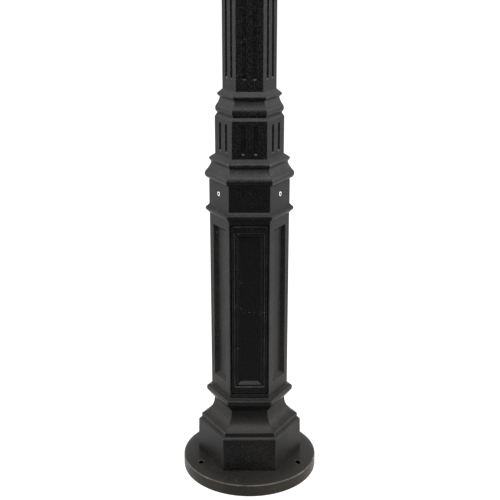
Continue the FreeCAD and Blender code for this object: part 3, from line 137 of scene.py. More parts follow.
class LampPostDoor(bpy.types.PropertyGroup):
    """Sizes of the access door and of the sunk panels beside it."""

    width: length("Door width", "Width of the door leaf", 59)
    low: length("Door foot", "Height of the door's lower edge", 168)
    high: length("Door head", "Height of the door's upper edge", 471)
    thickness: length("Door thickness", "Thickness of the door leaf", 9)
    gap: length("Door gap", "Gap round the door leaf", 1.8)
    corner: length("Door corner", "Rounding of the door's corners", 3)
    border: length("Side border", "Width of the raised border at the sides", 4.5)
    border_end: length("End border", "Width of the raised border at the ends", 12)
    border_step: length("Border step", "Height of the raised border", 1)
    panel_width: length("Panel width", "Width of a sunk panel", 41)
    panel_end: length("Panel end", "Distance of a sunk panel from the door's ends", 16)
    side_panel_end: length("Side panel end", "Drop of a side panel's head below the door's head", 9)
    panel_depth: length("Panel depth", "Depth of a sunk panel", 6)
    face: length("Door face", "Distance of the column faces from the axis", 58.3)
    screw_end: length("Screw place", "Distance of a door screw from the door's ends", 6)


class LampPostHeads(bpy.types.PropertyGroup):
    """Sizes of the arms and the lanterns."""

    tube: length("Arm tube", "Radius of an arm's tube", 16)
    run: length("Arm run", "Straight length of an arm at its flange", 24)
    dip: length("Arm dip", "Radius of the downward bend", 80)
    sweep: length("Arm sweep", "Radius of the upward bend", 125)
    riser: length("Arm riser", "Straight length below the lantern", 34)
    flange: length("Arm flange", "Thickness of an arm's flange", 10)
    bolt_offset: length("Arm bolt", "Distance of an arm bolt from the middle of its flange", 32)
    cage_low: length("Cage foot", "Half the width across flats of a cage's foot", 63)
    cage_top: length("Cage head", "Half the width across flats of a cage's head", 102)
    cage_height: length("Cage height", "Height of a cage", 250)
    cage_wall: length("Cage wall", "Thickness of a cage's posts and rails", 7)
    cage_rail: length("Cage rail", "Height of a cage's rails", 16)
    cage_post: length("Cage post", "Width of a cage's post beside each corner", 9)
    knuckle: length("Hinge knuckle", "Radius of a hinge knuckle", 6)
    hinge_reach: length("Hinge reach", "Distance of the hinge pin from the lantern's axis", 125)


class LampPostFinishes(bpy.types.PropertyGroup):
    """Colours of the finishes."""

    coat: colour("Coat", "Black textured coat of the castings", (0.0022, 0.0025, 0.0032))
    coat_grain: colour("Grain", "Tips of the coat's grain", (0.033, 0.033, 0.034))
    # Rubbed coat, which also paints highlights on edges and flute ends
    coat_worn: colour("Worn coat", "Coat where edges are rubbed", (0.18, 0.172, 0.16))
    # Dust and silt also paint top light: they make upward faces lighter
    coat_dust_and_top_light: colour("Dust", "Dust that lies on upward faces", (0.036, 0.036, 0.035))
    coat_silt_and_top_light: colour("Silt", "Brown dust that lies low", (0.024, 0.0225, 0.020))
    coat_soil: colour("Soil", "Brown film on the foot", (0.060, 0.052, 0.043))
    coat_chip: colour("Chip", "Bare metal where the coat is chipped", (0.46, 0.45, 0.43))
    steel: colour("Steel", "Zinc plated steel", (0.52, 0.53, 0.53))
    stainless: colour("Stainless", "Bright stainless screws", (0.78, 0.78, 0.77))
    # Painted shade, near black, in sockets, gaps and holes
    hollow_shade: colour("Grime", "Dirt in sockets, gaps and holes", (0.0015, 0.0015, 0.0015))
    brass: colour("Brass", "Brass terminals", (0.62, 0.44, 0.18))
    rubber: colour("Rubber", "Door seal", (0.014, 0.014, 0.014))
    board: colour("Board", "Brown insulating board", (0.23, 0.13, 0.065))
    block: colour("Block", "Pale terminal block", (0.62, 0.60, 0.53))
    fuse: colour("Fuse carrier", "Dark grey fuse carrier", (0.055, 0.058, 0.062))
    holder: colour("Lamp holder", "White porcelain lamp holder", (0.76, 0.74, 0.70))
    pane: colour("Pane", "Clear lantern panes", (0.97, 0.98, 0.97))
    bulb: colour("Bulb", "Glass envelope of a lamp", (0.96, 0.95, 0.92))
    glass_dust: colour("Glass dust", "Dust on panes and bulbs", (0.72, 0.71, 0.68))
    cap: colour("Lamp cap", "Aluminium cap of a lamp", (0.74, 0.73, 0.70))
    floor: colour("Floor", "Plain pale floor", (0.36, 0.36, 0.36))


# Modelling helpers


def sizes():
    return bpy.context.scene.lamp_post_castings


def door_sizes():
    return bpy.context.scene.lamp_post_door


def head_sizes():
    return bpy.context.scene.lamp_post_heads


def finishes():
    return bpy.context.scene.lamp_post_finishes


def mm(*numbers):
    """Millimetres as metres."""
    return tuple(number * MM for number in numbers)


def deselect_all():
    if bpy.context.object is not None and bpy.context.object.mode != "OBJECT":
        bpy.ops.object.mode_set(mode="OBJECT")
    bpy.ops.object.select_all(action="DESELECT")


def select_only(*objects):
    """Selects objects and makes the first one active."""
    deselect_all()
    for item in objects:
        item.select_set(True)
    bpy.context.view_layer.objects.active = objects[0]
    return objects[0]


def settle(piece):
    """Moves the piece's place into its mesh."""
    select_only(piece)
    bpy.ops.object.transform_apply(location=True, rotation=True, scale=True)
    return piece


def named(name):
    """Names the piece just added and settles it."""
    piece = bpy.context.object
    piece.name = name
    piece.data.name = name
    return settle(piece)


def edit(piece, elements="FACE"):
    """Opens the piece in edit mode with nothing selected."""
    select_only(piece)
    bpy.ops.object.mode_set(mode="EDIT")
    bpy.ops.mesh.select_mode(type=elements)
    bpy.ops.mesh.select_all(action="DESELECT")


def edit_all(piece, elements="FACE"):
    """Opens the piece in edit mode with everything selected."""
    edit(piece, elements)
    bpy.ops.mesh.select_all(action="SELECT")


def done():
    bpy.ops.object.mode_set(mode="OBJECT")


def pick(piece, test, elements="FACE"):
    """Selects the faces, edges or vertices that pass a test, in edit mode."""
    edit(piece, elements)
    done()
    mesh = piece.data
    kinds = {"FACE": mesh.polygons, "EDGE": mesh.edges, "VERT": mesh.vertices}
    for element in kinds[elements]:
        element.select = test(element)
    bpy.ops.object.mode_set(mode="EDIT")


def extrude(*shift):
    """Extrudes what is selected by a shift."""
    bpy.ops.mesh.extrude_region_move(TRANSFORM_OT_translate={"value": shift})


def face_outwards(piece):
    """Merges doubles and turns all faces outwards."""
    edit_all(piece, "VERT")
    bpy.ops.mesh.remove_doubles(threshold=0.00001)
    bpy.ops.mesh.normals_make_consistent(inside=False)
    done()
    return piece


def apply_modifier(piece, kind, **settings):
    """Adds a modifier with its settings and applies it."""
    select_only(piece)
    modifier = piece.modifiers.new(kind.lower(), kind)
    for key, value in settings.items():
        setattr(modifier, key, value)
    bpy.ops.object.modifier_apply(modifier=modifier.name)
    return piece


def carve(piece, cutter):
    """Takes the cutter's shape out of the piece."""
    apply_modifier(piece, "BOOLEAN", operation="DIFFERENCE", solver="EXACT", object=cutter)
    bpy.data.objects.remove(cutter)
    return piece


def weld(piece, other):
    """Adds another shape to the piece."""
    apply_modifier(piece, "BOOLEAN", operation="UNION", solver="EXACT", object=other)
    bpy.data.objects.remove(other)
    return piece


def soften(piece, width, segments=3, rubbed_and_highlighted=True):
    """Rounds the sharp edges, notes them as rubbed with a painted highlight if asked, and shades
    the piece.
    """
    apply_modifier(
        piece, "BEVEL", width=width, segments=segments, limit_method="ANGLE",
        angle_limit=BEVEL_ANGLE, use_clamp_overlap=False, miter_outer="MITER_ARC",
    )
    return worn(piece) if rubbed_and_highlighted else shade(piece)


def worn(piece, narrow=NARROW):
    """Notes narrow faces as rubbed with a painted highlight, the more the sharper they turn
    outwards, and shades them.
    """
    mesh = piece.data
    sides = {}
    longest = []
    for polygon in mesh.polygons:
        for key in polygon.edge_keys:
            sides.setdefault(key, []).append(polygon)
        longest.append(max(edge_length(mesh, key) for key in polygon.edge_keys))
    turns = [0.0] * len(mesh.polygons)
    for key, pair in sides.items():
        if len(pair) == 2 and (pair[1].center - pair[0].center).dot(pair[0].normal) < 0:
            turn = pair[0].normal.angle(pair[1].normal, 0.0)
            for polygon in pair:
                turns[polygon.index] += turn * edge_length(mesh, key) / longest[polygon.index]
    rubbed_and_highlighted = wear_highlight_shade_notes(mesh)
    for polygon in mesh.polygons:
        reach = longest[polygon.index]
        note = rubbed_and_highlighted.data[polygon.index]
        if polygon.area < narrow * reach and note.value > PAINTED_SHADE_NOTE:
            share = (turns[polygon.index] - WEAR_AND_HIGHLIGHT_STARTS) / (WEAR_AND_HIGHLIGHT_FULL - WEAR_AND_HIGHLIGHT_STARTS)
            share *= LONG_EDGE_WEAR_AND_HIGHLIGHT if reach > LONG_EDGE else 1.0
            note.value = max(note.value, min(max(share, 0.0), 1.0))
    return shade(piece)


def edge_length(mesh, key):
    """Length of the edge between two vertices."""
    return (mesh.vertices[key[1]].co - mesh.vertices[key[0]].co).length


def wear_highlight_shade_notes(mesh):
    """The mesh's note of which faces are rubbed with a painted highlight, or take painted shade."""
    return mesh.attributes.get(WEAR_HIGHLIGHT_SHADE_NOTE) or mesh.attributes.new(WEAR_HIGHLIGHT_SHADE_NOTE, "FLOAT", "FACE")


def painted_shade(piece, test=lambda polygon: True):
    """Notes faces that pass a test for painted shade; a cutter hands the note on to the faces it
    cuts.
    """
    notes = wear_highlight_shade_notes(piece.data)
    for polygon in piece.data.polygons:
        if test(polygon):
            notes.data[polygon.index].value = PAINTED_SHADE_NOTE
    return piece


def shade(piece):
    """Smooth shading across rounded edges, with the flat faces kept flat."""
    select_only(piece)
    bpy.ops.object.shade_smooth_by_angle(angle=SHARP_ANGLE)
    return apply_modifier(piece, "WEIGHTED_NORMAL", keep_sharp=True)


def copy_of(piece, name, turn=0.0, shift=(0.0, 0.0, 0.0)):
    """A copy with its own mesh, turned about the post's axis and then shifted."""
    copy = piece.copy()
    copy.data = piece.data.copy()
    copy.name = name
    copy.data.name = name
    bpy.context.scene.collection.objects.link(copy)
    copy.rotation_euler.z = turn
    copy.location = shift
    return settle(copy)


def joined(pieces):
    """Several objects as one."""
    piece = select_only(*pieces)
    if len(pieces) > 1:
        bpy.ops.object.join()
    return piece


def ring_of(piece, count=FACES):
    """The piece repeated evenly round the post's axis, as one object."""
    copies = [
        copy_of(piece, f"{piece.name}_{turn}", turn * 2 * math.pi / count)
        for turn in range(count)
    ]
    bpy.data.objects.remove(piece)
    return joined(copies)


def arc_points(start, end, radius, turn, steps):
    """Points along an arc of under a half circle, turning left (1) or right (-1), with its ends."""
    start = Vector(start)
    chord = Vector(end) - start
    half = chord.length / 2
    left = Vector((-chord.y, chord.x)) / chord.length
    centre = start + chord / 2 + left * turn * math.sqrt(max(radius ** 2 - half ** 2, 0))
    spread = 2 * math.asin(min(half / radius, 1)) * turn
    arm = start - centre
    points = []
    for step in range(steps + 1):
        angle = spread * step / steps
        x = centre.x + arm.x * math.cos(angle) - arm.y * math.sin(angle)
        y = centre.y + arm.x * math.sin(angle) + arm.y * math.cos(angle)
        points.append((x, y))
    return points


def bowed(start, end, share, turn, steps=5):
    """Points along an arc whose radius is a share of the distance that it spans."""
    return arc_points(start, end, share * (Vector(end) - Vector(start)).length, turn, steps)


def moulding(*stretches):
    """A profile in millimetres from points and arcs, as half widths and heights in metres."""
    least_step = 1e-4
    profile = []
    for stretch in stretches:
        points = stretch if isinstance(stretch, list) else [stretch]
        for point in points:
            if not profile or (Vector(point) - Vector(profile[-1])).length > least_step:
                profile.append(point)
    return [mm(half, level) for half, level in profile]


def eased(profile, radius):
    """The profile with its corners rounded as far as the stretches beside them allow."""
    rounded = [profile[0]]
    for before, corner, after in zip(profile, profile[1:], profile[2:]):
        arrive = Vector(corner) - Vector(before)
        leave = Vector(after) - Vector(corner)
        bend = arrive.angle(leave, 0.0)
        if bend < EASE_ANGLE:
            rounded.append(corner)
            continue
        room = (EASE_SHARE * arrive.length, EASE_SHARE * leave.length)
        reach = min(radius * math.tan(bend / 2), *room)
        start = Vector(corner) - arrive.normalized() * reach
        end = Vector(corner) + leave.normalized() * reach
        turn = 1 if arrive.x * leave.y > arrive.y * leave.x else -1
        rounded += arc_points(start, end, reach / math.tan(bend / 2), turn, CORNER_STEPS)
    return [*rounded, profile[-1]]


def drawn_up(piece, profile):
    """Draws the piece's one face up along a profile and closes it."""
    edit_all(piece)
    for (half, level), (next_half, next_level) in zip(profile, profile[1:]):
        extrude(0, 0, next_level - level)
        ratio = next_half / half
        bpy.ops.transform.resize(value=(ratio, ratio, 1), center_override=(0, 0, next_level))
    done()
    return face_outwards(piece)


def hexagon_tower(name, profile, corner=0.0, turn=0.0):
    """A hexagonal casting drawn up along a profile, with rounded corners and closed ends."""
    half, level = profile[0]
    deselect_all()
    bpy.ops.mesh.primitive_circle_add(
        vertices=FACES, radius=half / COS30, fill_type="NGON", location=(0, 0, level),
        rotation=(0, 0, HALF_CORNER + turn),
    )
    piece = named(name)
    if corner:
        edit_all(piece, "VERT")
        bpy.ops.mesh.bevel(offset=corner, segments=CORNER_STEPS, affect="VERTICES")
        done()
    return drawn_up(piece, profile)


def cast_tower(name, profile, turn=0.0):
    """A hexagonal casting with the castings' own rounding of edges and corners, rubbed by wear,
    with painted highlights on its edges.
    """
    castings = sizes()
    return worn(hexagon_tower(name, eased(profile, castings.edge), castings.corner, turn))


def turned_piece(name, profile, steps):
    """A turned piece: a profile of radius and height, drawn up from a disc."""
    radius, level = profile[0]
    deselect_all()
    bpy.ops.mesh.primitive_circle_add(
        vertices=steps, radius=radius, fill_type="NGON", location=(0, 0, level)
    )
    return drawn_up(named(name), profile)


def block(name, low, high):
    """A box between two corners."""
    low = Vector(low)
    high = Vector(high)
    deselect_all()
    bpy.ops.mesh.primitive_cube_add(size=1, location=(low + high) / 2, scale=high - low)
    return named(name)


def rod(name, radius, depth, place, direction="Z", vertices=32):
    """A round bar centred at a place."""
    turns = {"X": (0, math.pi / 2, 0), "Y": (math.pi / 2, 0, 0), "Z": (0, 0, 0)}
    deselect_all()
    bpy.ops.mesh.primitive_cylinder_add(
        vertices=vertices, radius=radius, depth=depth, location=place, rotation=turns[direction]
    )
    return named(name)


def plate(name, low, high, along, corner):
    """A flat plate between two corners, with its edges along one axis rounded."""
    piece = block(name, low, high)
    axis = "xyz".index(along)

    def upright(edge):
        ends = [piece.data.vertices[number].co for number in edge.vertices]
        return abs(ends[0][axis] - ends[1][axis]) > MM

    pick(piece, upright, "EDGE")
    bpy.ops.mesh.bevel(offset=corner, segments=6, affect="EDGES")
    done()
    return piece


def sunk_panel_cutter(half, low, high, face, depth):
    """A shallow block whose inner end is smaller all round, as a bevelled recess."""
    cutter = block("panel_cutter", (-half, -face, low), (half, -face + depth, high))
    pick(cutter, lambda polygon: polygon.normal.y > FACING)
    centre = (0, -face + depth, (low + high) / 2)
    bpy.ops.transform.resize(
        value=((half - depth) / half, 1, 1 - 2 * depth / (high - low)), center_override=centre
    )
    pick(cutter, lambda polygon: polygon.normal.y < -FACING)
    extrude(0, -OVERLAP, 0)
    done()
    return face_outwards(cutter)


def capsule(name, radius, low, high, place):
    """A round bar with round ends, standing between two heights, whose lowest end takes a painted
    highlight.
    """
    segments = 28
    above_middle = 1.01
    highlight_share = 0.45
    deselect_all()
    bpy.ops.mesh.primitive_uv_sphere_add(
        segments=segments, ring_count=13, radius=radius, location=(*place, low + radius),
        rotation=(math.pi / 2, math.pi / segments, 0),
    )
    piece = named(name)
    pick(piece, lambda vertex: vertex.co.z > low + radius * above_middle, "VERT")
    bpy.ops.transform.translate(value=(0, 0, high - low - 2 * radius))
    done()
    rubbed_and_highlighted = wear_highlight_shade_notes(piece.data)
    # The lowest end is noted for a painted highlight, as if lit from above
    for polygon in piece.data.polygons:
        rubbed_and_highlighted.data[polygon.index].value = float(polygon.center.z < low + radius * highlight_share)
    return piece


def fluted(piece, half_flats, offset, low, high):
    """Cuts two flutes into each face."""
    radius = sizes().flute_radius
    pair = [
        capsule(f"flute_{number}", radius, low, high, (sign * offset, -half_flats))
        for number, sign in enumerate((-1, 1))
    ]
    return carve(piece, ring_of(joined(pair)))


def dress(piece, body, node, slot, material=None):
    """Finishes a piece: its material, the body it rides on and the CAD node it stands for."""
    piece.data.materials.clear()
    piece.data.materials.append(MATERIALS[material or slot])
    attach(piece, body)
    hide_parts(node)
    deselect_all()


# Materials


def map_range(tree, source, low, high, start=0.0, end=1.0):
    """Maps a stretch of values to another, held at both ends."""
    node = tree.nodes.new("ShaderNodeMapRange")
    stretches = {"From Min": low, "From Max": high, "To Min": start, "To Max": end}
    for key, value in stretches.items():
        node.inputs[key].default_value = value
    tree.links.new(source, node.inputs["Value"])
    return node.outputs["Result"]


def combined(tree, operation, first, second):
    """Two values put together, held between 0 and 1."""
    node = tree.nodes.new("ShaderNodeMath")
    node.operation = operation
    node.use_clamp = True
    tree.links.new(first, node.inputs[0])
    tree.links.new(second, node.inputs[1])
    return node.outputs["Value"]


class Finish:
    """A procedural material under construction."""

    def __init__(self, name):
        self.material = bpy.data.materials.new(name)
        self.material.use_nodes = True
        self.tree = self.material.node_tree
        self.nodes = self.tree.nodes
        self.shader = self.nodes["Principled BSDF"]
        self.place = self.nodes.new("ShaderNodeTexCoord").outputs["Object"]

    def link(self, source, target):
        self.tree.links.new(source, target)

    def fill(self, socket, value):
        """Links an output to a socket, or leaves a plain number or colour on it."""
        if hasattr(value, "is_output"):
            self.link(value, socket)
        else:
            socket.default_value = value if isinstance(value, float) else tuple(value)

    def noise(self, scale, detail, roughness):
        texture = self.nodes.new("ShaderNodeTexNoise")
        for key, value in (("Scale", scale), ("Detail", detail), ("Roughness", roughness)):
            texture.inputs[key].default_value = value
        self.link(self.place, texture.inputs["Vector"])
        return texture.outputs["Fac"]

    def grains(self, scale):
        texture = self.nodes.new("ShaderNodeTexVoronoi")
        texture.inputs["Scale"].default_value = scale
        self.link(self.place, texture.inputs["Vector"])
        return texture.outputs["Distance"]

    def ramp(self, source, low, high, start=0.0, end=1.0):
        return map_range(self.tree, source, low, high, start, end)

    def times(self, first, second):
        return combined(self.tree, "MULTIPLY", first, second)

    def larger(self, first, second):
        return combined(self.tree, "MAXIMUM", first, second)

    def mix(self, share, first, second):
        """A colour between two others, from the first at 0 to the second at 1."""
        node = self.nodes.new("ShaderNodeMix")
        node.data_type = "RGBA"
        self.link(share, node.inputs["Factor"])
        self.fill(node.inputs[6], first)
        self.fill(node.inputs[7], second)
        return node.outputs[2]

    def edges(self):
        """How far a face is noted as rubbed with a painted highlight."""
        note = self.nodes.new("ShaderNodeAttribute")
        note.attribute_name = WEAR_HIGHLIGHT_SHADE_NOTE
        return note.outputs["Fac"]

    def painted_shade(self):
        """1 on faces that are noted for painted shade, else 0."""
        return self.ramp(self.edges(), 0.0, PAINTED_SHADE_NOTE)

    def height(self, source):
        """The Z part of a vector."""
        split = self.nodes.new("ShaderNodeSeparateXYZ")
        self.link(source, split.inputs["Vector"])
        return split.outputs["Z"]

    def upward(self, low, high):
        """How far a face looks up, from 0 to 1."""
        normal = self.nodes.new("ShaderNodeTexCoord").outputs["Normal"]
        return self.ramp(self.height(normal), low, high)

    def bump(self, *layers):
        """Stacks bumps, each given as its height, its strength and its distance."""
        normal = None
        for height, strength, distance in layers:
            node = self.nodes.new("ShaderNodeBump")
            node.inputs["Strength"].default_value = strength
            node.inputs["Distance"].default_value = distance
            self.link(height, node.inputs["Height"])
            if normal is not None:
                self.link(normal, node.inputs["Normal"])
            normal = node.outputs["Normal"]
        self.link(normal, self.shader.inputs["Normal"])

    def set(self, **values):
        """Sets sockets of the shader: plain values stay on the socket, outputs are linked."""
        for key, value in values.items():
            self.fill(self.shader.inputs[key.replace("_", " ")], value)


# Heights in metres between which the coat's grain, soil, dust and painted top light change
SPLASHED_RIM = (0.026, 0.016)
PLATE_TOP = (0.028, 0.032)
BELOW_RING = (0.164, 0.156)
SILT_TO_DUST = (0.2, 0.52)
SOILED_COLUMN = (0.49, 0.4)
GRAIN_GROWS = (0.5, 0.7)
ABOVE_BAND = (0.53, 0.545)


def black_coat(name, soil=1.0):
    """Black textured coat: fine grain, dust with painted top light on upward faces, soil at the
    foot, rubbed edges with painted highlights, painted shade in hollows, and chips.
    """
    finish = Finish(name)
    colours = finishes()
    grain = finish.noise(440, 3, 0.7)
    cloudy = finish.noise(11, 5, 0.6)
    patches = finish.noise(48, 6, 0.65)
    level = finish.height(finish.place)

    bloom = finish.times(finish.ramp(grain, 0.45, 0.68), finish.ramp(level, *GRAIN_GROWS, 0.5))
    base = finish.mix(bloom, colours.coat, colours.coat_grain)

    soiled = finish.ramp(level, *SOILED_COLUMN, 0.0, 0.45 * soil)
    soiled = finish.times(soiled, finish.ramp(cloudy, 0.36, 0.66, 0.1))
    soiled = finish.times(soiled, finish.ramp(grain, 0.36, 0.66, 0.2))
    splashed = finish.ramp(level, *SPLASHED_RIM)
    splashed = finish.times(splashed, finish.ramp(cloudy, 0.3, 0.6, 0.45, 0.8))
    base = finish.mix(finish.larger(soiled, splashed), base, colours.coat_soil)

    # Dust and painted top light held to 0.3 between the ring and the band, and to 0.7 on the plate
    dust_height_share = finish.ramp(level, *ABOVE_BAND, 0.3)
    dust_height_share = finish.larger(dust_height_share, finish.ramp(level, *BELOW_RING, 0.3))
    dust_height_share = finish.times(dust_height_share, finish.ramp(level, *PLATE_TOP, 0.7))
    # Dust on upward faces, which also paints top light on them
    dust = finish.times(finish.upward(0.03, 0.38), finish.ramp(patches, 0.3, 0.68, 0.55, 1.0))
    dust = finish.times(dust, dust_height_share)
    dust = finish.times(dust, finish.ramp(grain, 0.32, 0.6, 0.45, 1.0))
    dust_and_top_light_tint = finish.mix(finish.ramp(level, *SILT_TO_DUST), colours.coat_silt_and_top_light, colours.coat_dust_and_top_light)
    base = finish.mix(dust, base, dust_and_top_light_tint)

    # Rubbed edges, with painted highlights along the noted edges and at the flute ends
    rubbed_and_highlighted = finish.times(finish.edges(), finish.ramp(patches, 0.36, 0.6, 0.3, 1.0))
    base = finish.mix(rubbed_and_highlighted, base, colours.coat_worn)
    chipped = finish.ramp(finish.noise(120, 3, 0.6), 0.66, 0.71)
    base = finish.mix(finish.times(finish.edges(), chipped), base, colours.coat_chip)
    specks = finish.ramp(finish.grains(260), 0.14, 0.1)
    specks = finish.times(specks, finish.ramp(patches, 0.58, 0.66))
    base = finish.mix(specks, base, colours.coat_chip)
    # Painted shade on faces noted as shaded: holes, sockets and the door's gap
    base = finish.mix(finish.painted_shade(), base, colours.hollow_shade)

    finish.set(
        Base_Color=base,
        Roughness=finish.ramp(grain, 0.3, 0.7, 0.3, 0.42),
        Specular_IOR_Level=0.1,
    )
    finish.bump((finish.noise(150, 4, 0.6), 0.12, 0.4 * MM), (grain, 0.4, 0.4 * MM))
    return finish.material


def darker(tint, share):
    """A share of a colour."""
    return (*(channel * share for channel in tint[:3]), 1.0)


def metal(name, tint, roughness):
    """Bare metal with fine scratches and stains, and painted shade in the sockets."""
    finish = Finish(name)
    scratches = finish.noise(900, 3, 0.6)
    stains = finish.ramp(finish.noise(60, 4, 0.6), 0.5, 0.8, 0.0, 0.6)
    base = finish.mix(stains, tint, darker(tint, 0.45))
    # Painted shade in the sockets
    base = finish.mix(finish.painted_shade(), base, finishes().hollow_shade)
    rough = finish.ramp(scratches, 0.3, 0.7, roughness - 0.08, roughness + 0.12)
    finish.set(Base_Color=base, Metallic=1.0, Roughness=rough)
    finish.bump((scratches, 0.12, 0.1 * MM))
    return finish.material


def moulded(name, tint, roughness):
    """Moulded plastic, rubber or glazed ware with a fine grain and slight staining."""
    finish = Finish(name)
    grain = finish.noise(700, 3, 0.6)
    stains = finish.ramp(finish.noise(35, 5, 0.6), 0.45, 0.8, 0.0, 0.7)
    base = finish.mix(stains, tint, darker(tint, 0.7))
    rough = finish.ramp(grain, 0.3, 0.7, roughness - 0.06, roughness + 0.08)
    finish.set(Base_Color=base, Roughness=rough)
    finish.bump((grain, 0.15, 0.15 * MM))
    return finish.material


def clear_glass(name, tint, roughness):
    """Glass with faint ripples and dust."""
    finish = Finish(name)
    ripple = finish.noise(16, 3, 0.5)
    dust = finish.noise(140, 5, 0.65)
    base = finish.mix(finish.ramp(dust, 0.5, 0.85, 0.0, 0.35), tint, finishes().glass_dust)
    rough = finish.ramp(dust, 0.45, 0.8, roughness, roughness + 0.12)
    finish.set(Base_Color=base, Roughness=rough, IOR=1.46, Transmission_Weight=1.0)
    finish.bump((ripple, 0.06, 2 * MM))
    return finish.material


MATERIALS = {}


def make_materials():
    """One material for each finish of the record, and a cleaner coat for the door."""
    colours = finishes()
    door_soil = 0.08
    MATERIALS.update(
        iron_black=black_coat("iron_black_coat"),
        cast_black=black_coat("cast_black_coat"),
        clean_black=black_coat("door_coat", door_soil),
        screw_steel=metal("zinc_steel", colours.steel, 0.38),
        stainless=metal("bright_stainless", colours.stainless, 0.24),
        black_screw=black_coat("coated_screw"),
        seal_rubber=moulded("seal_rubber", colours.rubber, 0.75),
        board_plastic=moulded("brown_board", colours.board, 0.55),
        block_plastic=moulded("pale_block", colours.block, 0.5),
        fuse_plastic=moulded("grey_fuse_carrier", colours.fuse, 0.45),
        brass=metal("brass_terminal", colours.brass, 0.3),
        pane_glass=clear_glass("lantern_pane", colours.pane, 0.04),
        bulb_glass=clear_glass("bulb_envelope", colours.bulb, 0.22),
        holder_white=moulded("white_lamp_holder", colours.holder, 0.2),
        cap_metal=metal("lamp_cap", colours.cap, 0.32),
    )


# Operators, one for each piece or group of like pieces


class LAMPPOST_OT_base_plate(bpy.types.Operator):
    """Model the round base plate with its anchor holes"""

    bl_idname = "lamp_post.base_plate"
    bl_label = "Base plate"

    def execute(self, context):
        castings = sizes()
        radius = castings.plate_radius / MM
        rim = castings.plate_rim / MM
        edge = castings.plate_round / MM
        crown = 96.2
        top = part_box("base_plate")[1].z / MM
        base = turned_piece("round_base_plate", moulding(
            (radius - 1, 0), (radius, 1),
            arc_points((radius, rim - edge), (radius - edge, rim), edge, 1, 5), (crown, top),
        ), 160)
        cable_radius = 30 * MM
        carve(base, rod("cable_hole", cable_radius, THROUGH, (0, 0, 0), vertices=64))
        place = (0, castings.anchor_radius, 0)
        anchor = rod("anchor_hole", castings.anchor_hole, THROUGH, place, vertices=28)
        wear_highlight_shade_notes(base.data)
        # The anchor holes' walls take painted shade
        carve(base, ring_of(painted_shade(anchor), RING))
        place = mm(73.95, 0, 0)
        recess_depth = 24 * MM
        carve(base, ring_of(rod("screw_recess", 6.8 * MM, recess_depth, place), RING))
        carve(base, ring_of(rod("screw_way", 4.1 * MM, THROUGH, place), RING))
        soften(base, FINE_EDGE)
        dress(base, "post", "base_plate", "iron_black")
        return {"FINISHED"}


class LAMPPOST_OT_pedestal(bpy.types.Operator):
    """Model the hexagonal pedestal with sunk panels, doorway and hollow"""

    bl_idname = "lamp_post.pedestal"
    bl_label = "Pedestal"

    def execute(self, context):
        door = door_sizes()
        foot = ((80.7, 28), bowed((79.7, 87), (74.9, 91), 1.1, 1))
        cavetto = (arc_points((74.9, 99), (54.5, 131), 35.5, -1, 12), (54.5, 132))
        ring = (arc_points((65.6, 147), (66.4, 152.5), 9.5, 1, 4), (66.2, 155.2), (58.3, 157.8))
        bead = ((58.3, 478.5), arc_points((61.5, 482.5), (61.5, 491.5), 4.9, 1, 10))
        band = ((58.7, 495), (58.7, 537))
        profile = moulding(*foot, *cavetto, *ring, *bead, *band)
        pedestal = cast_tower("panelled_pedestal", profile)
        panel = sunk_panel_cutter(
            door.panel_width / 2, door.low + door.panel_end, door.high - door.side_panel_end,
            door.face, door.panel_depth,
        )
        carve(pedestal, ring_of(panel))
        self.hollow(pedestal)
        self.doorway(pedestal, door)
        soften(pedestal, sizes().cut_edge, rubbed_and_highlighted=False)
        self.holes(pedestal)
        self.bosses(pedestal)
        dress(pedestal, "post", "pedestal", "iron_black")
        return {"FINISHED"}

    def hollow(self, pedestal):
        """Foot hollow, column hollow and the socket for the collar's spigot."""
        carve(pedestal, hexagon_tower("foot_hollow", [mm(72.7, 20), mm(72.7, 87)]))
        column = hexagon_tower("column_hollow", [mm(49.8, 80), mm(49.8, 481)])
        front_wall = block("front_wall", mm(-80, -80, 60), mm(80, -43.8, 500))
        carve(pedestal, carve(column, front_wall))
        carve(pedestal, hexagon_tower("spigot_socket", [mm(50.2, 480), mm(50.2, 560)]))

    def doorway(self, pedestal, door):
        """Rebate for the door and the way through behind it."""
        half = door.width / 2 + door.gap
        seal_room = 1.5 * MM
        rebate = plate(
            "rebate", (-half, -door.face - OUTSIDE, door.low - door.gap),
            (half, -door.face + door.thickness + seal_room, door.high + door.gap),
            "y", door.corner,
        )
        # The rebate's walls round the door take painted shade
        carve(pedestal, painted_shade(rebate))
        way_half, way_end, outer, inner = mm(22.5, 14, 70, 40)
        carve(pedestal, block(
            "doorway", (-way_half, -outer, door.low + way_end),
            (way_half, -inner, door.high - way_end),
        ))

    def holes(self, pedestal):
        """Screw holes behind the door and in the band."""
        radius, depth, middle = mm(2.6, 40, -55)
        carve(pedestal, joined([
            rod(f"door_screw_hole_{level}", radius, depth, (0, middle, level), "Y")
            for level in door_screw_levels()
        ]))
        low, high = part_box("collar_set_screws")
        place = (0, high.y, (low.z + high.z) / 2)
        hole = rod("set_screw_hole", sizes().set_screw + SCREW_PLAY, 30 * MM, place, "Y")
        shade(carve(pedestal, ring_of(hole, RING)))

    def bosses(self, pedestal):
        """Bosses on the back wall for the terminal board and the earth stud."""
        shapes = [pedestal]
        board_middle = 319.5
        places = ((7, board_middle - 56), (7, board_middle + 56), (9, board_middle - 96))
        for number, (radius, level) in enumerate(places):
            boss = rod(f"boss_{number}", radius * MM, 13 * MM, mm(0, 44.8, level), "Y")
            shapes.append(soften(boss, FINE_EDGE))
        joined(shapes)


def door_screw_levels():
    """Heights of the lower and the upper door screw."""
    door = door_sizes()
    return (door.low + door.screw_end, door.high - door.screw_end)


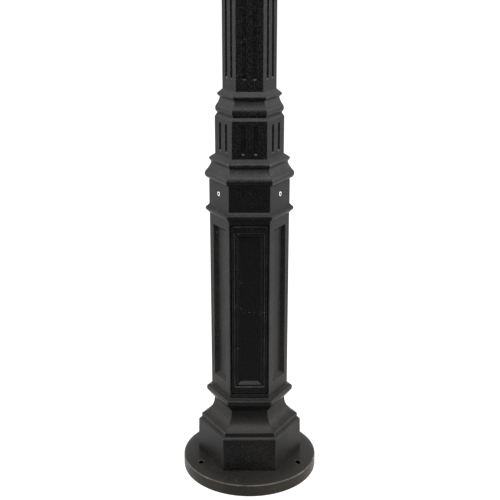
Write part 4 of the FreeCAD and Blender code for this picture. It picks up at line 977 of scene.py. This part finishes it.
class LAMPPOST_OT_access_door(bpy.types.Operator):
    """Model the access door with its stepped border and sunk panel"""

    bl_idname = "lamp_post.access_door"
    bl_label = "Access door"

    def execute(self, context):
        door = door_sizes()
        half = door.width / 2
        leaf = plate(
            "flush_access_door", (-half, -door.face, door.low),
            (half, -door.face + door.thickness, door.high), "y", door.corner,
        )
        # The leaf's edges take painted shade
        painted_shade(leaf, lambda polygon: abs(polygon.normal.y) < 0.5)
        carve(leaf, block(
            "border_step",
            (-half + door.border, -door.face - OUTSIDE, door.low + door.border_end),
            (half - door.border, -door.face + door.border_step, door.high - door.border_end),
        ))
        carve(leaf, sunk_panel_cutter(
            door.panel_width / 2, door.low + door.panel_end, door.high - door.panel_end,
            door.face - door.border_step, door.panel_depth - door.border_step,
        ))
        soften(leaf, FINE_EDGE)
        radius, depth = mm(4.1, 8.8)
        sinks = [
            rod(f"screw_sink_{level}", radius, depth, (0, -door.face, level), "Y")
            for level in door_screw_levels()
        ]
        shade(carve(leaf, joined(sinks)))
        dress(leaf, "door", "access_door", "iron_black", "clean_black")
        return {"FINISHED"}


class LAMPPOST_OT_collar(bpy.types.Operator):
    """Model the collar with its spigot, ogee, bead and fluted drum"""

    bl_idname = "lamp_post.collar"
    bl_label = "Collar"

    def execute(self, context):
        drum = 49.6
        spigot = ((49.9, 493), (49.9, 537), (58.5, 537))
        ogee = (
            bowed((58.5, 538.4), (65.1, 547), 0.82, 1, 10),
            bowed((65.1, 548), (62, 554), 1.8, 1, 6),
            bowed((62, 554), (55.45, 566.2), 3.4, -1, 10),
        )
        bead = ((55.45, 567), arc_points((56.85, 570), (56.85, 576), 3.5, 1, 10))
        head = ((drum, 581.2), (drum, 643.2), (46.35, 648.5))
        collar = cast_tower("fluted_collar", moulding(*spigot, *ogee, *bead, *head))
        castings = sizes()
        fluted(collar, drum * MM, castings.drum_flute_offset, 588.5 * MM, 635.9 * MM)
        carve(collar, rod("collar_bore", 40 * MM, 100 * MM, mm(0, 0, 540.5), vertices=64))
        soften(collar, castings.cut_edge, rubbed_and_highlighted=False)
        dress(collar, "post", "collar", "iron_black")
        return {"FINISHED"}


class LAMPPOST_OT_shaft(bpy.types.Operator):
    """Model the long shaft with its moulded foot and flutes"""

    bl_idname = "lamp_post.shaft"
    bl_label = "Shaft"

    def execute(self, context):
        castings = sizes()
        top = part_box("shaft")[1].z
        half = 38.25
        ogee = (
            (46.35, 648.5),
            bowed((46.35, 650.5), (48.95, 656.4), 1.24, 1, 8),
            bowed((48.95, 657.4), (46.9, 662.9), 1.8, 1, 6),
            bowed((46.9, 662.9), (42.35, 674.2), 3.4, -1, 10),
        )
        bead = ((42.35, 674.8), arc_points((44.4, 677.4), (44.4, 682.8), 3.1, 1, 10))
        profile = moulding(*ogee, *bead, (half, 688.4), (half, top / MM))
        shaft = cast_tower("fluted_shaft", profile)
        flute_low, flute_end, screw_drop = mm(706.8, 48, 22)
        fluted(shaft, half * MM, castings.shaft_flute_offset, flute_low, top - flute_end)
        soften(shaft, castings.cut_edge, rubbed_and_highlighted=False)
        place = (0, half * MM, top - screw_drop)
        hole = rod("set_screw_hole", castings.set_screw + SCREW_PLAY, 14 * MM, place, "Y")
        shade(carve(shaft, ring_of(hole, RING)))
        dress(shaft, "post", "shaft", "cast_black")
        return {"FINISHED"}


class LAMPPOST_OT_screws(bpy.types.Operator):
    """Model the set screws, the door screws and the arm bolts with their sockets"""

    bl_idname = "lamp_post.screws"
    bl_label = "Visible screws"

    def execute(self, context):
        self.set_screws("collar", 9.2 * MM)
        self.set_screws("capital", 6.7 * MM)
        self.door_screws()
        self.arm_bolts()
        return {"FINISHED"}

    def set_screws(self, place, reach):
        """Headless screws round the post, which reach inwards from their CAD node's outer end."""
        castings = sizes()
        low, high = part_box(f"{place}_set_screws")
        screw = self.socket_screw(
            f"{place}_grub_screw", castings.set_screw, high.y, high.y - reach,
            castings.set_screw_socket,
        )
        screw.location.z = (low.z + high.z) / 2
        group = ring_of(settle(screw), RING)
        group.name = f"{place}_grub_screws"
        dress(group, "post", f"{place}_set_screws", "stainless")

    def socket_screw(self, name, radius, outer, inner, socket):
        """A round bar along Y whose outer end has a hexagonal socket."""
        screw = rod(name, radius, outer - inner, (0, (inner + outer) / 2, 0), "Y", 36)
        soften(screw, SCREW_EDGE, 2, rubbed_and_highlighted=False)
        # The socket's walls take painted shade
        cutter = painted_shade(rod("socket", socket / COS30, 4 * socket, (0, outer, 0), "Y", FACES))
        wear_highlight_shade_notes(screw.data)
        return shade(carve(screw, cutter))

    def headed_screw(self, name, head, shank, face, seat, end, socket):
        """A socket head screw along Y: face and seat of the head, and the end of the shank."""
        top = self.socket_screw(f"{name}_head", head, face, seat, socket)
        bar = rod(f"{name}_shank", shank, seat - end, (0, (seat + end) / 2, 0), "Y", 24)
        return joined([top, soften(bar, SCREW_EDGE, 2)])

    def door_screws(self):
        """Screws sunk a little below the door's face, looking to the front."""
        front = door_sizes().face - 0.4 * MM
        screw = self.headed_screw(
            "door_screw", head=4 * MM, shank=2.5 * MM, face=front, seat=front - 4 * MM,
            end=front - 14 * MM, socket=1.2 * MM,
        )
        group = joined([
            copy_of(screw, f"door_screw_{level}", math.pi, (0, 0, level))
            for level in door_screw_levels()
        ])
        bpy.data.objects.remove(screw)
        group.name = "door_socket_screws"
        dress(group, "door", "door_screws", "black_screw")

    def arm_bolts(self):
        """Two bolts through each arm's flange."""
        heads = head_sizes()
        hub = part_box("arm_hub")
        level = (hub[0].z + hub[1].z) / 2
        seat = hub[1].x + heads.flange
        bolt = self.headed_screw(
            "arm_bolt", head=6.5 * MM, shank=4 * MM, face=seat + 8 * MM, seat=seat,
            end=seat - 19 * MM, socket=2.4 * MM,
        )
        for side, turn in zip(SIDES, (math.pi / 2, -math.pi / 2)):
            pair = []
            for sign in (-1, 1):
                shift = (0, 0, level + sign * heads.bolt_offset)
                pair.append(copy_of(bolt, f"{side}_arm_bolt_{sign}", turn, shift))
            group = joined(pair)
            group.name = f"{side}_arm_bolts"
            dress(group, "post", f"arm_bolts_{side}", "black_screw")
        bpy.data.objects.remove(bolt)


def finial(name, base, base_height, neck, ball, spire, tip):
    """A turned ornament of disc, neck, ball and spire, standing at the origin, in millimetres."""
    low = base_height + neck
    reach = ball * math.sqrt(3) / 2
    top = low + 2 * reach + spire
    profile = moulding(
        (base - 1, 0), (base, 1), (base, base_height), (ball / 2 + 3, low - 3),
        arc_points((ball / 2, low), (ball, low + reach), ball, 1, 10),
        arc_points((ball, low + reach), (ball / 2, low + 2 * reach), ball, 1, 10),
        (tip, top - 1), (tip / 2, top),
    )
    return worn(turned_piece(name, eased(profile, 1.6 * MM), 72), 0.9 * MM)


class LAMPPOST_OT_capital(bpy.types.Operator):
    """Model the capital, the hub for the arms and its finial"""

    bl_idname = "lamp_post.capital"
    bl_label = "Capital and hub"

    def execute(self, context):
        capital = cast_tower("moulded_capital", moulding(
            (42, 1539.3), (42, 1547.3), arc_points((48, 1552.3), (48, 1559.3), 5, 1, 6),
            (43, 1566.3), arc_points((43, 1572.3), (56, 1590.3), 22, -1, 8),
            (56, 1598.1), (54.8, 1599.3),
        ))
        dress(capital, "post", "capital", "cast_black")
        low, high = (corner.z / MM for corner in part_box("arm_hub"))
        half = 42
        chamfer = 1.2
        hub = cast_tower("arm_hub_block", moulding(
            (half - chamfer, low), (half, low + chamfer),
            (half, high - chamfer), (half - chamfer, high),
        ), HALF_CORNER)
        dress(hub, "post", "arm_hub", "cast_black")
        spire = finial(
            "hub_spire", base=38, base_height=10, neck=16, ball=26, spire=58, tip=2.5
        )
        spire.location.z = high * MM
        dress(settle(spire), "post", "hub_finial", "cast_black")
        return {"FINISHED"}


class LAMPPOST_OT_arms(bpy.types.Operator):
    """Model the curved arms with their flanges and seats"""

    bl_idname = "lamp_post.arms"
    bl_label = "Arms"

    def execute(self, context):
        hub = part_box("arm_hub")
        face = hub[1].x
        level = (hub[0].z + hub[1].z) / 2
        arm = self.tube(face, level)
        half_width, half_height, corner = mm(22, 43, 8)
        weld(arm, plate(
            "arm_flange", (face, -half_width, level - half_height),
            (face + head_sizes().flange, half_width, level + half_height), "x", corner,
        ))
        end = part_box("arm_right")[1]
        top = end.z / MM
        seat_radius = 42
        profile = moulding((20, top - 30), (seat_radius, top - 8), (seat_radius, top))
        seat = turned_piece("arm_seat", profile, 72)
        seat.location.x = end.x - seat_radius * MM
        weld(arm, settle(seat))
        soften(arm, 1.4 * MM, 4)
        for side, turn in zip(SIDES, (math.pi, 0)):
            copy = copy_of(arm, f"{side}_curved_arm", turn)
            dress(copy, "post", f"arm_{side}", "cast_black")
        bpy.data.objects.remove(arm)
        return {"FINISHED"}

    def tube(self, face, level):
        """The right arm's tube: out of its flange, down, round and up to the lantern."""
        heads = head_sizes()
        dip = math.radians(35)
        deselect_all()
        bpy.ops.mesh.primitive_circle_add(
            vertices=40, radius=heads.tube, location=(face, 0, level), rotation=(0, math.pi / 2, 0)
        )
        tube = named("arm_tube")
        edit_all(tube, "EDGE")
        extrude(heads.run, 0, 0)
        centre = Vector((face + heads.run, 0, level - heads.dip))
        bpy.ops.mesh.spin(steps=10, angle=dip, center=centre, axis=(0, -1, 0))
        away = Vector((math.sin(dip), 0, math.cos(dip)))
        centre += away * (heads.dip + heads.sweep)
        bpy.ops.mesh.spin(steps=32, angle=dip + math.pi / 2, center=centre, axis=(0, 1, 0))
        extrude(0, 0, heads.riser - OVERLAP)
        bpy.ops.mesh.select_all(action="SELECT")
        bpy.ops.mesh.fill_holes(sides=0)
        done()
        return face_outwards(tube)


class LAMPPOST_OT_lanterns(bpy.types.Operator):
    """Model the lantern bases, cages, roofs and finials"""

    bl_idname = "lamp_post.lanterns"
    bl_label = "Lanterns"

    def execute(self, context):
        self.stand(self.base(), "lantern_base", "post")
        self.stand(self.cage(), "lantern_cage", "post")
        self.stand(self.roof(), "lantern_roof", "roof_{}")
        spire = finial("roof_spire", base=22, base_height=8, neck=8, ball=17, spire=34, tip=2)
        self.stand(spire, "roof_finial", "roof_{}")
        return {"FINISHED"}

    def stand(self, piece, node, body):
        """Puts a copy of a piece that stands at the origin in place of its node on each side."""
        for side in SIDES:
            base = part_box(f"lantern_base_{side}")
            if node == "lantern_roof":
                seat = base[1].z + head_sizes().cage_height
            elif node == "roof_finial":
                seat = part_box(f"lantern_roof_{side}")[1].z
            else:
                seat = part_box(f"{node}_{side}")[0].z
            shift = ((base[0].x + base[1].x) / 2, 0, seat)
            copy = copy_of(piece, f"{side}_{piece.name}", shift=shift)
            dress(copy, body.format(side), f"{node}_{side}", "cast_black")
        bpy.data.objects.remove(piece)

    def base(self):
        """The dished base with its sink and the holes for nipple and screws."""
        castings = sizes()
        profile = moulding(arc_points((48, 0), (66, 12), 30, -1, 10), (66, 18), (65, 19))
        base = hexagon_tower("dished_base", eased(profile, castings.edge), castings.corner)
        carve(base, hexagon_tower("sink", [mm(49, 10), mm(49, 25)]))
        carve(base, rod("nipple_hole", 10.1 * MM, 60 * MM, (0, 0, 0)))
        recess = rod("screw_recess", 3.8 * MM, 24 * MM, mm(0, 59.5, 0))
        carve(base, ring_of(recess, RING))
        return soften(base, FINE_EDGE)

    def cage(self):
        """Six sloping posts between two rails, with a hinge leaf at the back."""
        heads = head_sizes()
        height = heads.cage_height
        slope = (heads.cage_top - heads.cage_low) / height
        profile = [(heads.cage_low, 0), (heads.cage_top, height)]
        cage = hexagon_tower("sloping_cage", profile, sizes().corner)
        inner = heads.cage_low - heads.cage_wall
        carve(cage, hexagon_tower("cage_hollow", [
            (inner - slope * OVERLAP, -OVERLAP),
            (inner + slope * (height + OVERLAP), height + OVERLAP),
        ]))
        window = self.window(slope)
        for turn in range(FACES):
            carve(cage, copy_of(window, f"window_{turn}", turn * math.pi / 3))
        bpy.data.objects.remove(window)
        soften(cage, LANTERN_EDGE)
        return self.hinged(
            cage, level=height, places=(0,), width=28 * MM, low=mm(98.5, -13), high=mm(125, -1),
            taper=7 * MM,
        )

    def window(self, slope):
        """A wedge that cuts the opening between two posts and two rails."""
        heads = head_sizes()
        rail = heads.cage_rail
        high = heads.cage_height - rail
        low_half = (heads.cage_low + slope * rail) * TAN30 - heads.cage_post
        high_half = (heads.cage_top - slope * rail) * TAN30 - heads.cage_post
        outer, inner = mm(130, 30)
        wedge = block("window", (-low_half, -outer, rail), (low_half, -inner, high))
        pick(wedge, lambda polygon: polygon.normal.z > FACING)
        ratio = high_half / low_half
        bpy.ops.transform.resize(value=(ratio, 1, 1), center_override=(0, 0, high))
        done()
        return wedge

    def roof(self):
        """The hollow hipped roof, with two hinge leaves at the back."""
        castings = sizes()
        profile = moulding((117, 0), (118, 1), (118, 8), (60, 64), (30, 108), (30, 114))
        roof = hexagon_tower("hipped_roof", eased(profile, 2 * castings.edge), castings.corner)
        hollow = [mm(98, -2), mm(98, 21.52), mm(54, 64), mm(37.64, 88)]
        carve(roof, hexagon_tower("roof_hollow", hollow))
        soften(roof, LANTERN_EDGE)
        return self.hinged(
            roof, level=0, places=mm(-21.4, 21.4), width=14 * MM, low=mm(114, 0), high=mm(125, 6),
            taper=0.0,
        )

    def hinged(self, piece, level, places, width, low, high, taper):
        """Adds hinge leaves with knuckles, from a leaf's low inner to its high outer corner."""
        heads = head_sizes()
        name = piece.name
        foot, head = level + low[1], level + high[1]
        leaves = []
        for x in places:
            leaf = block(
                "hinge_leaf", (x - width / 2, low[0], foot), (x + width / 2, high[0], head)
            )
            outer = high[0] - MM
            pick(leaf, lambda vertex: vertex.co.y > outer and vertex.co.z < foot + MM, "VERT")
            bpy.ops.transform.translate(value=(0, 0, taper))
            done()
            place = (x, heads.hinge_reach, level)
            knuckle = rod("hinge_knuckle", heads.knuckle, width, place, "X", 40)
            weld(leaf, soften(knuckle, 0.5 * MM, 2))
            carve(leaf, rod("hinge_eye", 2.55 * MM, 2 * width, place, "X", 24))
            leaves.append(shade(leaf))
        piece = joined([piece, *leaves])
        piece.name = name
        return piece


class LAMPPOST_OT_fittings(bpy.types.Operator):
    """Give the fittings that keep their CAD shape their finishes"""

    bl_idname = "lamp_post.fittings"
    bl_label = "Fittings"

    def execute(self, context):
        slots = {part["node"]: part["material_slot"] for part in frame["record"]["subparts"]}
        for name, node in frame["nodes"].items():
            material = MATERIALS[slots[name]]
            for slot in node.material_slots:
                slot.material = material
            if not node.material_slots:
                node.data.materials.append(material)
        return {"FINISHED"}


# The studio: each lamp's place, target, diameter and power, then floor, world and camera
LAMPS = {
    "side_left": ((-2.4, 0.0, 1.1), (0, 0, 0.6), 1.8, 50),
    "side_right": ((2.4, 0.0, 1.1), (0, 0, 0.6), 1.8, 56),
    "top": ((0, -0.7, 4.4), (0, 0, 0.4), 2.2, 90),
    "front_top": ((0, -2.1, 3.6), (0, 0, 0.5), 2.0, 64),
}
WHITE = (1, 1, 1, 1)
FLOOR_SIZE = 80
FLOOR_ROUGHNESS = 0.9
FLOOR_GLOW = (0.6, 3.0, 0.85, 1.0)
FLOOR_FRONT = (-0.5, 0.2)
WORLD_LIGHT = 0.13
WORLD_FRONT = (-0.8, -0.35)
DIM_FRONT = 0.12
CAMERA_PLACE = (0, -1.5667, 0.9402)
CAMERA_TILT = math.radians(71.34)
CAMERA_LENS = 69.4
CAMERA_SENSOR = 36
CAMERA_SHIFT = 0.001


class LAMPPOST_OT_stage(bpy.types.Operator):
    """Set up the floor, the studio light and the camera"""

    bl_idname = "lamp_post.stage"
    bl_label = "Stage"

    def execute(self, context):
        context.scene.view_settings.view_transform = "Standard"
        self.floor()
        self.world(context)
        for name, (place, target, diameter, power) in LAMPS.items():
            self.lamp(name, place, target, diameter, power)
        self.camera(context)
        return {"FINISHED"}

    def floor(self):
        """A pale floor that the camera sees as white, apart from where the plate stands."""
        deselect_all()
        bpy.ops.mesh.primitive_plane_add(size=FLOOR_SIZE, location=(0, 0, 0))
        floor = named("studio_floor")
        material = bpy.data.materials.new("studio_floor")
        material.use_nodes = True
        tree = material.node_tree
        shader = tree.nodes["Principled BSDF"]
        shader.inputs["Base Color"].default_value = tuple(finishes().floor)
        shader.inputs["Roughness"].default_value = FLOOR_ROUGHNESS
        shader.inputs["Specular IOR Level"].default_value = 0.0
        shader.inputs["Emission Color"].default_value = WHITE
        place = tree.nodes.new("ShaderNodeTexCoord").outputs["Object"]
        away = tree.nodes.new("ShaderNodeVectorMath")
        away.operation = "LENGTH"
        tree.links.new(place, away.inputs[0])
        distance = away.outputs["Value"]
        outside = tree.nodes.new("ShaderNodeMath")
        outside.operation = "GREATER_THAN"
        outside.inputs[1].default_value = sizes().plate_radius - 4 * MM
        tree.links.new(distance, outside.inputs[0])
        strength = map_range(tree, distance, *FLOOR_GLOW)
        for share in (outside.outputs["Value"], seen_rays(tree, place, *FLOOR_FRONT)):
            strength = combined(tree, "MULTIPLY", strength, share)
        tree.links.new(strength, shader.inputs["Emission Strength"])
        floor.data.materials.append(material)

    def world(self, context):
        """A white world that lights the post only faintly."""
        world = bpy.data.worlds.new("studio")
        context.scene.world = world
        world.use_nodes = True
        tree = world.node_tree
        background = tree.nodes["Background"]
        background.inputs["Color"].default_value = WHITE
        direction = tree.nodes.new("ShaderNodeTexCoord").outputs["Generated"]
        seen = seen_rays(tree, direction, *WORLD_FRONT)
        strength = map_range(tree, seen, 0.0, 1.0, WORLD_LIGHT, 1.0)
        tree.links.new(strength, background.inputs["Strength"])

    def lamp(self, name, place, target, diameter, power):
        """A round area lamp that looks at a target."""
        deselect_all()
        bpy.ops.object.light_add(type="AREA", location=place)
        lamp = bpy.context.object
        lamp.name = name
        lamp.data.shape = "DISK"
        lamp.data.size = diameter
        lamp.data.energy = power
        direction = Vector(target) - Vector(place)
        lamp.rotation_euler = direction.to_track_quat("-Z", "Y").to_euler()

    def camera(self, context):
        """The camera at the photograph's viewing angle."""
        deselect_all()
        bpy.ops.object.camera_add(location=CAMERA_PLACE, rotation=(CAMERA_TILT, 0, 0))
        camera = bpy.context.object
        camera.name = "photo_camera"
        camera.data.sensor_width = CAMERA_SENSOR
        camera.data.lens = CAMERA_LENS
        camera.data.shift_x = CAMERA_SHIFT
        camera.data.clip_start = 0.01
        camera.data.clip_end = 200
        context.scene.camera = camera


def seen_rays(tree, place, dim, bright):
    """1 for rays from the camera or through glass, less for gloss that looks to the dim front."""
    rays = tree.nodes.new("ShaderNodeLightPath").outputs
    behind = tree.nodes.new("ShaderNodeVectorMath")
    behind.operation = "DOT_PRODUCT"
    behind.inputs[1].default_value = (0, 1, 1)
    tree.links.new(place, behind.inputs[0])
    front = map_range(tree, behind.outputs["Value"], dim, bright, DIM_FRONT, 1.0)
    seen = combined(tree, "MULTIPLY", rays["Is Glossy Ray"], front)
    for ray in ("Is Camera Ray", "Is Transmission Ray"):
        seen = combined(tree, "MAXIMUM", seen, rays[ray])
    return seen


PIECES = (
    LAMPPOST_OT_fittings,
    LAMPPOST_OT_base_plate,
    LAMPPOST_OT_pedestal,
    LAMPPOST_OT_access_door,
    LAMPPOST_OT_collar,
    LAMPPOST_OT_shaft,
    LAMPPOST_OT_screws,
    LAMPPOST_OT_capital,
    LAMPPOST_OT_arms,
    LAMPPOST_OT_lanterns,
    LAMPPOST_OT_stage,
)


class LAMPPOST_PT_panel(bpy.types.Panel):
    """Lists the pieces of the lamp post and their sizes"""

    bl_idname = "LAMPPOST_PT_panel"
    bl_label = "Lamp post"
    bl_space_type = "VIEW_3D"
    bl_region_type = "UI"
    bl_category = "Lamp post"

    def draw(self, context):
        layout = self.layout
        for piece in PIECES:
            layout.operator(piece.bl_idname)
        for group in (sizes(), door_sizes(), head_sizes(), finishes()):
            box = layout.box()
            for key in group.__annotations__:
                box.prop(group, key)


GROUPS = {
    "lamp_post_castings": LampPostCastings,
    "lamp_post_door": LampPostDoor,
    "lamp_post_heads": LampPostHeads,
    "lamp_post_finishes": LampPostFinishes,
}


def register():
    for name, group in GROUPS.items():
        bpy.utils.register_class(group)
        setattr(bpy.types.Scene, name, PointerProperty(type=group))
    for item in (*PIECES, LAMPPOST_PT_panel):
        bpy.utils.register_class(item)


def unregister():
    for item in (LAMPPOST_PT_panel, *reversed(PIECES)):
        bpy.utils.unregister_class(item)
    for name, group in reversed(GROUPS.items()):
        delattr(bpy.types.Scene, name)
        bpy.utils.unregister_class(group)


def main():
    register()
    make_materials()
    for piece in PIECES:
        namespace, name = piece.bl_idname.split(".")
        getattr(getattr(bpy.ops, namespace), name)()


if __name__ == "__main__":
    main()
